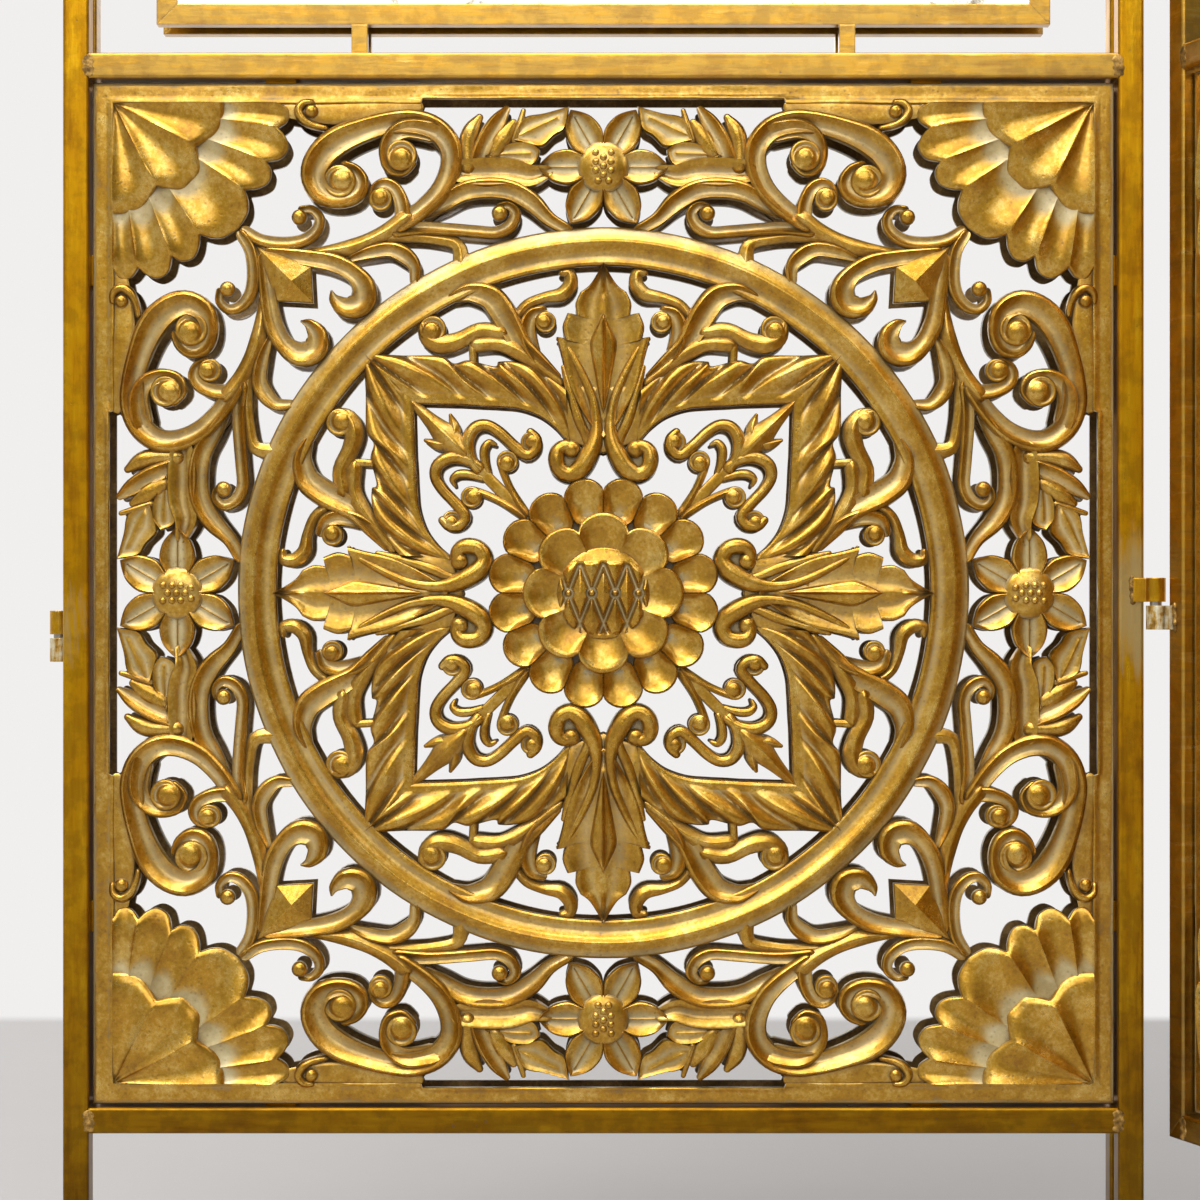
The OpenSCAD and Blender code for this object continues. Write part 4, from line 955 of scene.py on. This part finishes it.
@dataclass(frozen=True)
class PressedBrass:
    """Thin brass with grey and green patina in its hollows and rubbed gold on its heights; painted shade
    darkens the walls of its forms and its deepest creases.
    """

    name: str = "aged_brass"
    wear: float = 0.0
    cloudy: float = 0.55
    gold: tuple[Screen, ...] = ((146, 100, 6), (180, 134, 24), (214, 180, 96))
    patina: tuple[Screen, ...] = ((132, 112, 66), (166, 146, 96), (198, 182, 136), (226, 218, 188))
    dull: tuple[Screen, ...] = ((88, 66, 34), (126, 98, 54), (164, 134, 84))
    speck: Screen = (80, 60, 34)
    crease: Screen = (168, 150, 104)
    # Dark brown painted shade for the deepest creases.
    crease_shade: Screen = (92, 64, 20)
    crease_reach: float = 0.0035
    # Near-black painted shade for the walls of the forms.
    wall_shade: Screen = (28, 21, 15)
    coat: tuple[float, float] = (0.6, 0.2)

    def material(self) -> bpy.types.Material:
        """Return the material."""
        paint = Paint(self.name)
        broad, blotch, grain = paint.noise(9, 3), paint.noise(62, 6, 0.66), paint.noise(520, 6, 0.7)
        loose, even = (blotch - 0.5) * self.cloudy, blotch * 0.6 + grain * 0.4
        wear = (paint.mark("rubbed") + loose) + ((grain - 0.5) * 0.35 + self.wear)
        gold = paint.ramp(even, *zip((0.36, 0.5, 0.66), self.gold))
        stain = paint.ramp(blotch * 0.5 + broad * 0.5, *zip((0.34, 0.46, 0.56, 0.68), self.patina))
        colour = paint.mix(paint.ramp(wear, (0.16, 0.0), (0.36, 0.65), (0.54, 1.0)), stain, gold)
        speck = paint.ramp(paint.cells(330), (0.10, 1.0), (0.26, 0.0))
        colour = paint.mix(speck * 0.3, colour, self.speck)
        crease = paint.hollows(self.crease_reach)
        colour = paint.mix(crease * 0.62, colour, self.crease)
        # Painted shade: the deepest creases are darkened to brown.
        colour = paint.mix(paint.ramp(crease, (0.7, 0.0), (1.0, 0.75)), colour, self.crease_shade)
        # Painted shade: the walls of the forms darken to near black towards their back edge.
        behind = paint.ramp(paint.mark("behind") + loose, (0.4, 0.0), (0.8, 1.0))
        colour = paint.mix(behind, colour, self.wall_shade)
        back = paint.mark("back")
        colour = paint.mix(back, colour, paint.ramp(even, *zip((0.36, 0.5, 0.64), self.dull)))
        rough = paint.mix(behind, paint.ramp(wear, (0.1, 0.6), (0.4, 0.36), (1.0, 0.27)), 0.75)
        bare = paint.ramp(wear, (0.08, 0.35), (0.3, 0.9), (0.6, 0.97))
        bare = paint.math("SUBTRACT", bare, crease * 0.5, True)
        metal = paint.mix(back, paint.mix(behind, bare, 0.2), 0.6)
        normal = paint.bump(grain * 0.7 + speck * -0.4, 0.22, 0.0005)
        return paint.finish(colour, rough, metal, normal, self.coat)


@dataclass(frozen=True)
class GiltTube:
    """Steel tube under worn gilding, darker in its pits and brighter along its edges, with painted shade that
    darkens it towards the floor.
    """

    name: str = "worn_gilding"
    along: Spot = (1.0, 1.0, 0.12)
    dark: Screen = (154, 102, 0)
    body: Screen = (184, 130, 2)
    bright: Screen = (216, 168, 26)
    cream: float = 0.1
    edge: float = 0.0009
    worn: Screen = (194, 142, 4)
    pit: Screen = (70, 50, 26)
    rubbed_edge: Screen = (232, 198, 104)
    stain: Screen = (112, 74, 6)
    halo: Screen = (188, 170, 118)
    # How much painted shade darkens the gilding at each height in metres.
    low_shade: tuple[tuple[float, float], ...] = ((0.1, 0.42), (0.2, 0.74), (0.3, 0.95), (0.4, 1.0))
    hinges: tuple[Spot, ...] = ()

    def material(self) -> bpy.types.Material:
        """Return the material."""
        paint = Paint(self.name)
        broad, cloud, grain = paint.noise(16, 4), paint.noise(110, 6, 0.62), paint.noise(900, 4, 0.7)
        streak = paint.noise(240, 5, 0.62, self.along)
        blend = broad * 0.35 + streak * 0.65
        golds = (self.dark, self.body, self.worn, self.bright)
        colour = paint.ramp(blend, *zip((0.34, 0.47, 0.56, 0.68), golds))
        pit = paint.ramp(paint.cells(150) + cloud * 0.55, (0.26, 1.0), (0.33, 0.0))
        colour = paint.mix(pit * 0.6, colour, self.pit)
        colour = paint.mix(paint.edges(self.edge) * 0.45, colour, self.rubbed_edge)
        colour = paint.mix(paint.ramp(cloud, (0.42, 1.0), (0.56, 0.0)) * 0.35, colour, self.stain)
        # Painted shade: the gilding is darkened towards the bottom of the screen, where less light falls.
        colour = paint.mix(1.0, colour, paint.ramp(paint.along("Z"), *self.low_shade), "MULTIPLY")
        for hinge in self.hinges:
            near = (paint.near(hinge) + streak * 0.02) * 20.0
            colour = paint.mix(paint.ramp(near, (0.34, 0.7), (0.42, 0.55), (0.52, 0.0)), colour, self.halo)
        rough = paint.ramp(blend, (0.35, 0.38), (0.65, 0.27))
        metal = paint.ramp(pit, (0.0, 0.97), (1.0, 0.25))
        normal = paint.bump((grain * 0.3 + streak) - pit * 0.6, 0.3, 0.0004, self.edge)
        return paint.finish(colour, rough, metal, normal, (self.cream, 0.25))


@dataclass(frozen=True)
class OldMirror:
    """Silvered glass with grey cloud and dark spots of age."""

    name: str = "old_mirror"
    silver: tuple[Screen, ...] = ((224, 224, 220), (196, 192, 178), (120, 104, 76), (66, 56, 44))

    def material(self) -> bpy.types.Material:
        """Return the material."""
        paint = Paint(self.name)
        cloud = paint.noise(14, 7, 0.7)
        age = cloud * (paint.noise(130, 5, 0.7) + 0.35)
        return paint.finish(paint.ramp(age, *zip((0.34, 0.48, 0.6, 0.7), self.silver)),
                            paint.ramp(age, (0.3, 0.05), (0.5, 0.14), (0.65, 0.5)),
                            paint.ramp(age, (0.45, 1.0), (0.66, 0.4)), paint.bump(cloud, 0.02, 0.0008))


@dataclass(frozen=True)
class PressedBoard:
    """Brown pressed board with short fibres."""

    name: str = "pressed_board"
    browns: tuple[Screen, ...] = ((84, 60, 40), (116, 86, 58), (146, 112, 78))

    def material(self) -> bpy.types.Material:
        """Return the material."""
        paint = Paint(self.name)
        fibre, cloud = paint.noise(700, 6, 0.75, (1.0, 1.0, 0.35)), paint.noise(12, 4)
        return paint.finish(paint.ramp(fibre * 0.6 + cloud * 0.4, *zip((0.38, 0.5, 0.62), self.browns)),
                            paint.ramp(fibre, (0.3, 0.9), (0.7, 0.72)), 0.0, paint.bump(fibre, 0.3, 0.0004))


@dataclass(frozen=True)
class BurntWeld:
    """Weld metal, lumpy and burnt, with thin gilding over it."""

    name: str = "burnt_weld"
    burnt: tuple[Screen, ...] = ((88, 66, 34), (142, 108, 48), (196, 156, 84))

    def material(self) -> bpy.types.Material:
        """Return the material."""
        paint = Paint(self.name)
        cloud, grain = paint.noise(260, 5, 0.7), paint.noise(1100, 4)
        return paint.finish(paint.ramp(cloud, *zip((0.36, 0.5, 0.64), self.burnt)),
                            paint.ramp(grain, (0.3, 0.62), (0.7, 0.4)), 0.7, paint.bump(cloud, 0.6, 0.0007))


@dataclass(frozen=True)
class GreyedBarrel:
    """Turned barrel of a hinge, its gilding mostly gone to a greyish cream, with painted shade in its
    hollows.
    """

    name: str = "greyed_barrel"
    creams: tuple[Screen, ...] = ((132, 96, 40), (186, 146, 66), (204, 192, 158), (226, 220, 196))
    # Dark brown painted shade for the barrel's hollows.
    crease: Screen = (74, 54, 28)

    def material(self) -> bpy.types.Material:
        """Return the material."""
        paint = Paint(self.name)
        blend = paint.noise(210, 6, 0.66) * 0.5 + paint.noise(420, 4, 0.6, (1, 1, 0.2)) * 0.5
        colour = paint.ramp(blend, *zip((0.38, 0.46, 0.54, 0.66), self.creams))
        # Painted shade: the hollows are darkened to dark brown.
        return paint.finish(paint.mix(paint.hollows(0.002) * 0.8, colour, self.crease),
                            paint.ramp(blend, (0.4, 0.36), (0.6, 0.52)),
                            paint.ramp(blend, (0.42, 0.85), (0.6, 0.4)),
                            paint.bump(paint.noise(1300, 4), 0.2, 0.0003, 0.0007))


@dataclass(frozen=True)
class TurnedSteel:
    """Bright steel of the hinge pins, with fine rings from turning."""

    name: str = "turned_steel"
    steels: tuple[Screen, ...] = ((120, 112, 98), (176, 172, 164))

    def material(self) -> bpy.types.Material:
        """Return the material."""
        paint = Paint(self.name)
        rings = paint.noise(260, 3, 0.6, (0.1, 0.1, 9.0))
        return paint.finish(paint.ramp(paint.noise(120, 5), *zip((0.35, 0.6), self.steels)),
                            paint.ramp(rings, (0.3, 0.42), (0.7, 0.26)), 1.0, paint.bump(rings, 0.2, 0.0002))


@dataclass(frozen=True)
class MouldedFoot:
    """Dark moulded plastic of the feet, scuffed pale near the floor."""

    name: str = "moulded_foot"
    darks: tuple[Screen, ...] = ((34, 32, 30), (54, 51, 48), (92, 88, 82))

    def material(self) -> bpy.types.Material:
        """Return the material."""
        paint = Paint(self.name)
        scuff = paint.noise(160, 6, 0.7, (1.0, 1.0, 3.0))
        return paint.finish(paint.ramp(scuff, *zip((0.45, 0.62, 0.74), self.darks)),
                            paint.ramp(scuff, (0.4, 0.5), (0.7, 0.75)), 0.0,
                            paint.bump(paint.noise(1400, 4), 0.25, 0.0003, 0.0006))


def show(name: str, data: bpy.types.ID) -> bpy.types.Object:
    """Put a mesh, camera or lamp into the scene as an object."""
    made = bpy.data.objects.new(name, data)
    bpy.context.scene.collection.objects.link(made)
    return made


@dataclass
class PressedSheet:
    """The pierced and pressed brass sheet of a leaf, one piece for each kind of ornament."""

    finishes: dict[str, bpy.types.Material]
    forms: dict[str, bpy.types.Mesh] = field(default_factory=dict)

    def press(self) -> None:
        """Press every kind of ornament once, in the leaf's own place."""
        parts = {"border": SheetBorder(), "scrolls": Scrollwork(), "shells": CornerShells(), "studs": Studs(),
                 "flowers": Flowers(), "ring": RingMoulding(), "band": GadroonBand(), "acanthus": Acanthus(),
                 "rosette": Rosette()}
        for name, part in parts.items():
            self.forms[name] = part.relief().mesh(name)
            log.info("%s pressed with %d faces", name, len(self.forms[name].polygons))

    def fit(self, leaf: Leaf) -> None:
        """Fit the pressed sheet into a leaf."""
        for name, form in self.forms.items():
            mesh = form.copy()
            mesh.name = f"{leaf.prefix}_sheet_{name}"
            mesh.transform(leaf.place())
            mesh.materials.append(self.finishes.get(name, self.finishes["sheet"]))
            piece = show(mesh.name, mesh)
            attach(piece, leaf.body)
            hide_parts(f"{leaf.prefix}_panel")

    def clear(self) -> None:
        """Remove the forms that the pieces were copied from."""
        for form in self.forms.values():
            bpy.data.meshes.remove(form)


def hinge_heights(levels: Array) -> list[float]:
    """Return the lowest point of each hinge among the heights of the points of all hinges of one side."""
    levels = np.sort(levels)
    return [float(levels[0])] + [float(b) for a, b in zip(levels, levels[1:]) if b - a > HINGE_SPAN]


@dataclass
class WeldBeads:
    """Low ground beads where rails meet stiles on a leaf's face, and lumps by the hinge lugs."""

    finish: bpy.types.Material
    corners: tuple[float, ...] = (120.6, 608.6, 1788.6)
    length: float = 10.5
    size: tuple[float, float] = (6.0, 0.4)
    lug_size: tuple[float, float] = (3.4, 1.5)
    past_lug: float = 1.5
    lumps: float = 3.6
    sides: int = 9

    def runs(self) -> list[tuple[Vector, Vector, Vector]]:
        """Return the start, end and outward direction of each bead between a leaf's rails and stiles."""
        half, front = LEAF_W / 2 - TUBE_W, Vector((0, -1, 0))
        return [(Vector((x, 0, z)), Vector((x, 0, z + self.length)), front)
                for x in (-half, half) for z in self.corners]

    def lugs(self, leaf: Leaf) -> list[tuple[Vector, Vector, Vector]]:
        """Return the same for the bead at the inner edge of each hinge lug that a leaf carries."""
        carried = [leaf.prefix + "_hinge_lower_barrels"] if leaf.side else [
            "left_hinge_upper_barrels", "right_hinge_upper_barrels"]
        out = []
        for name in carried:
            node = frame["nodes"][name]
            into = leaf.place().inverted() @ node.matrix_world
            places = np.array([into @ v.co for v in node.data.vertices]) / MM
            for low in hinge_heights(places[:, 2]):
                lug = places[(places[:, 2] > low - 1) & (places[:, 2] < low + HINGE_SPAN)]
                x = lug[np.argmin(np.abs(lug[:, 0])), 0]
                y, face = (TUBE_W, 1) if lug[:, 1].mean() > TUBE_W / 2 else (0.0, -1)
                top = lug[np.abs(lug[:, 0] - x) < 0.5][:, 2].max()
                out.append((Vector((x, y, low - self.past_lug)), Vector((x, y, top + self.past_lug)),
                            Vector((0, face, 0))))
        return out

    def bead(self, mesh: bmesh.types.BMesh, start: Vector, end: Vector, out: Vector, seed: float,
             size: tuple[float, float]) -> None:
        """Lay one bead on a face, a row of rounds that swell and shrink along it.

        Args:
            mesh: mesh under way that takes it.
            start: its start in the leaf's own coordinates, in millimetres.
            end: its end.
            out: the way out of the face that it lies on.
            seed: shift of its lumps.
            size: its width and how proud it stands, in millimetres.
        """
        run = end - start
        across = run.normalized().cross(out)
        rows, spans = [], max(8, int(run.length * 1.6))
        for k in range(spans + 1):
            share = k / spans
            lump = 0.86 + 0.14 * math.sin(run.length * share / self.lumps * math.pi * 2 + seed)
            close = math.sqrt(max(1e-3, 1 - (2 * share - 1) ** 6)) * lump
            middle = start + run * share + across * 0.25 * math.sin(5 * share + seed)
            rows.append([mesh.verts.new((middle + across * (math.cos(a) * size[0] / 2 * close)
                                         + out * (math.sin(a) * size[1] * close - 0.05)) * MM)
                         for a in np.linspace(0, math.pi, self.sides)])
        for a, b in zip(rows, rows[1:]):
            for t in range(self.sides):
                mesh.faces.new((a[t - 1], a[t], b[t], b[t - 1]))
        mesh.faces.new(rows[0][::-1])
        mesh.faces.new(rows[-1])

    def lay(self, leaf: Leaf) -> None:
        """Lay all the beads of a leaf."""
        work = bmesh.new()
        for k, run in enumerate(self.runs()):
            self.bead(work, *run, 1.7 * k, self.size)
        for k, run in enumerate(self.lugs(leaf)):
            self.bead(work, *run, 2.3 * k, self.lug_size)
        bmesh.ops.recalc_face_normals(work, faces=work.faces)
        made = bpy.data.meshes.new(f"{leaf.prefix}_welds")
        work.to_mesh(made)
        work.free()
        made.transform(leaf.place())
        made.polygons.foreach_set("use_smooth", np.ones(len(made.polygons), bool))
        made.materials.append(self.finish)
        piece = show(made.name, made)
        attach(piece, leaf.body)


@dataclass
class Framework:
    """The tubes, bars, hinges, glass, boards and feet that come from the solid model."""

    finishes: dict[str, bpy.types.Material]
    # pale is a lighter, creamier copy of the gilding: painted light for the bars that take the most light.
    by_word: list[tuple[str, str]] = field(default_factory=lambda: [
        ("mirror_board", "board"), ("mirror", "mirror"), ("foot", "foot"), ("feet", "foot"),
        ("pins", "pin"), ("tabs", "level"), ("panel", "sheet"), ("middle_rail", "pale"),
        ("hinge_stile", "pale"), ("rail", "level"), ("_frame_", "pale"), ("spacers", "pale"),
        ("upper_barrels", "gilt_barrel"), ("barrels", "barrel")])

    def dress(self, nodes: dict[str, bpy.types.Object]) -> None:
        """Give every node of the solid model its finish."""
        for name, node in nodes.items():
            kind = next((finish for word, finish in self.by_word if word in name), "upright")
            if not node.material_slots:
                node.data.materials.append(self.finishes[kind])
            for place in node.material_slots:
                place.material = self.finishes[kind]
            log.info("%s dressed as %s", name, kind)


@dataclass
class Studio:
    """The camera, the pale floor and the soft lights."""

    eye: Spot = (0.2387, -1.206, 0.3529)
    lens: float = 77.9
    shift: tuple[float, float] = (0.0067, 0.025)
    floor_half: float = 12.0
    floor_grey: Screen = (180, 177, 175)
    lights: list[tuple[str, Spot, float, float]] = field(default_factory=lambda: [
        ("key", (-1.0, -1.5, 2.7), 1.0, 30.0), ("front", (0.2, -2.7, 2.1), 1.9, 32.0),
        ("top", (0.2, -0.5, 2.8), 1.2, 38.0), ("back", (-0.6, 2.8, 1.2), 1.8, 10.0)])
    aim: Spot = (0.25, 0.0, 0.5)
    window: Spot = (-0.4, -0.15, 0.9)
    room_light: float = 1.1
    walls: list[tuple[float, float]] = field(default_factory=lambda: [
        (0.0, 0.02), (0.3, 0.06), (0.5, 0.2), (0.6, 0.32), (0.75, 0.5), (1.0, 1.0)])

    def camera(self) -> None:
        """Set the camera at the photo's place."""
        made = show("camera", bpy.data.cameras.new("camera"))
        made.data.lens, made.data.sensor_width = self.lens, 36.0
        made.data.shift_x, made.data.shift_y = self.shift
        made.data.clip_start = 0.01
        made.location = self.eye
        made.rotation_euler = (math.radians(90), 0, 0)
        bpy.context.scene.camera = made

    def floor(self) -> None:
        """Lay the floor, which runs out into the white of the background, as a paper roll does."""
        mesh = bpy.data.meshes.new("floor")
        rim = circle(64, self.floor_half)
        mesh.from_pydata([(x, y, 0) for x, y in rim], [], [list(range(len(rim)))])
        paint = Paint("pale_floor")
        behind = paint.ramp(paint.along("Y") * 0.5, (0.565, 0.0), (0.585, 1.0))
        far = paint.ramp(paint.vector("LENGTH", "Value", paint.place) * 0.2, (0.3, 0.0), (0.72, 1.0))
        dark, pale = (tuple(v + step for v in self.floor_grey) for step in (-3, 3))
        normal = paint.bump(paint.noise(300, 4), 0.05, 0.0005)
        paint.finish(paint.mix(paint.noise(6, 5), dark, pale), 0.7, 0.0, normal)
        paint.whiten(paint.math("MAXIMUM", behind, far), 1.0, paint.shader.outputs["BSDF"], "Emission",
                     "Material Output")
        mesh.materials.append(paint.material)
        show("floor", mesh)

    def world(self) -> None:
        """Light the studio softly all round, with a white background for camera, glass and gloss behind."""
        world = bpy.data.worlds.new("studio")
        bpy.context.scene.world = world
        world.use_nodes = True
        sky, room = Graph(world.node_tree), world.node_tree.nodes["Background"]
        way = sky.add("TexCoord", "Generated")
        toward = sky.vector("DOT_PRODUCT", "Value", way, self.window)
        share = sky.add("MapRange", "Result", {"Value": toward, "From Min": -1.0, "From Max": 1.0})
        walls = sky.ramp(share, *((at, (grey, grey, grey * 1.01, 1.0)) for at, grey in self.walls))
        sky.put(room.inputs["Color"], walls)
        sky.put(room.inputs["Strength"], self.room_light)
        back = sky.add("SeparateXYZ", "Y", {"Vector": way})
        behind = sky.add("MapRange", "Result", {"Value": back, "From Max": 0.25})
        sky.whiten(1.0, behind, room.outputs["Background"], "Background", "World Output")

    def lamps(self) -> None:
        """Hang the soft lamps."""
        for name, place, size, power in self.lights:
            lamp = bpy.data.lights.new(name, "AREA")
            lamp.shape = "SQUARE"
            lamp.size = size
            lamp.energy = power
            made = show(name, lamp)
            made.location = place
            made.rotation_euler = (Vector(self.aim) - Vector(place)).to_track_quat("-Z", "Y").to_euler()


def hinge_levels(side: str) -> list[float]:
    """Return the height of each hinge of one side, in metres."""
    node = frame["nodes"][f"{side}_hinge_upper_barrels"]
    heights = np.array([(node.matrix_world @ v.co).z for v in node.data.vertices])
    return [low * MM for low in hinge_heights(heights / MM)]


def hinge_spot(side: str, low: float) -> Spot:
    """Return the spot on the centre leaf's stile beside a hinge, in metres."""
    x, y = (-TUBE_W / 2, TUBE_W / 2) if side == "left" else (LEAF_W - TUBE_W / 2, -TUBE_W / 2)
    return x * MM, y * MM, low


def main() -> None:
    """Build the studio, dress the solid model and fit the pressed sheets."""
    logging.basicConfig(level=logging.INFO, format="%(message)s")
    studio = Studio()
    studio.camera()
    studio.floor()
    studio.world()
    studio.lamps()
    bpy.context.scene.view_settings.view_transform = "Standard"
    brass = PressedBrass().material()
    spots = tuple(hinge_spot(side, low) for side in ("left", "right") for low in hinge_levels(side))
    level = GiltTube("worn_gilding_level", (0.12, 0.12, 1.0)).material()
    # Painted light: a lighter copy of the gilding, for the bars that catch more light.
    pale = GiltTube("lit_gilding", (0.12, 0.12, 1.0), (160, 112, 10), (184, 142, 40), (212, 180, 96), 0.8)
    barrels = GiltTube("barrel_gilding", (1.0, 1.0, 0.1), (166, 112, 10), (208, 156, 34), (236, 196, 96))
    Framework({"upright": GiltTube(hinges=spots).material(), "level": level, "pale": pale.material(),
               "sheet": brass, "gilt_barrel": barrels.material(), "barrel": GreyedBarrel().material(),
               "mirror": OldMirror().material(), "board": PressedBoard().material(),
               "foot": MouldedFoot().material(), "pin": TurnedSteel().material()}).dress(frame["nodes"])
    sheet = PressedSheet({"sheet": brass, "border": PressedBrass("border_brass", -0.1, 1.6).material()})
    sheet.press()
    welds = WeldBeads(BurntWeld().material())
    for leaf in LEAVES:
        sheet.fit(leaf)
        welds.lay(leaf)
        log.info("%s fitted", leaf.body)
    sheet.clear()


if __name__ == "__main__":
    main()
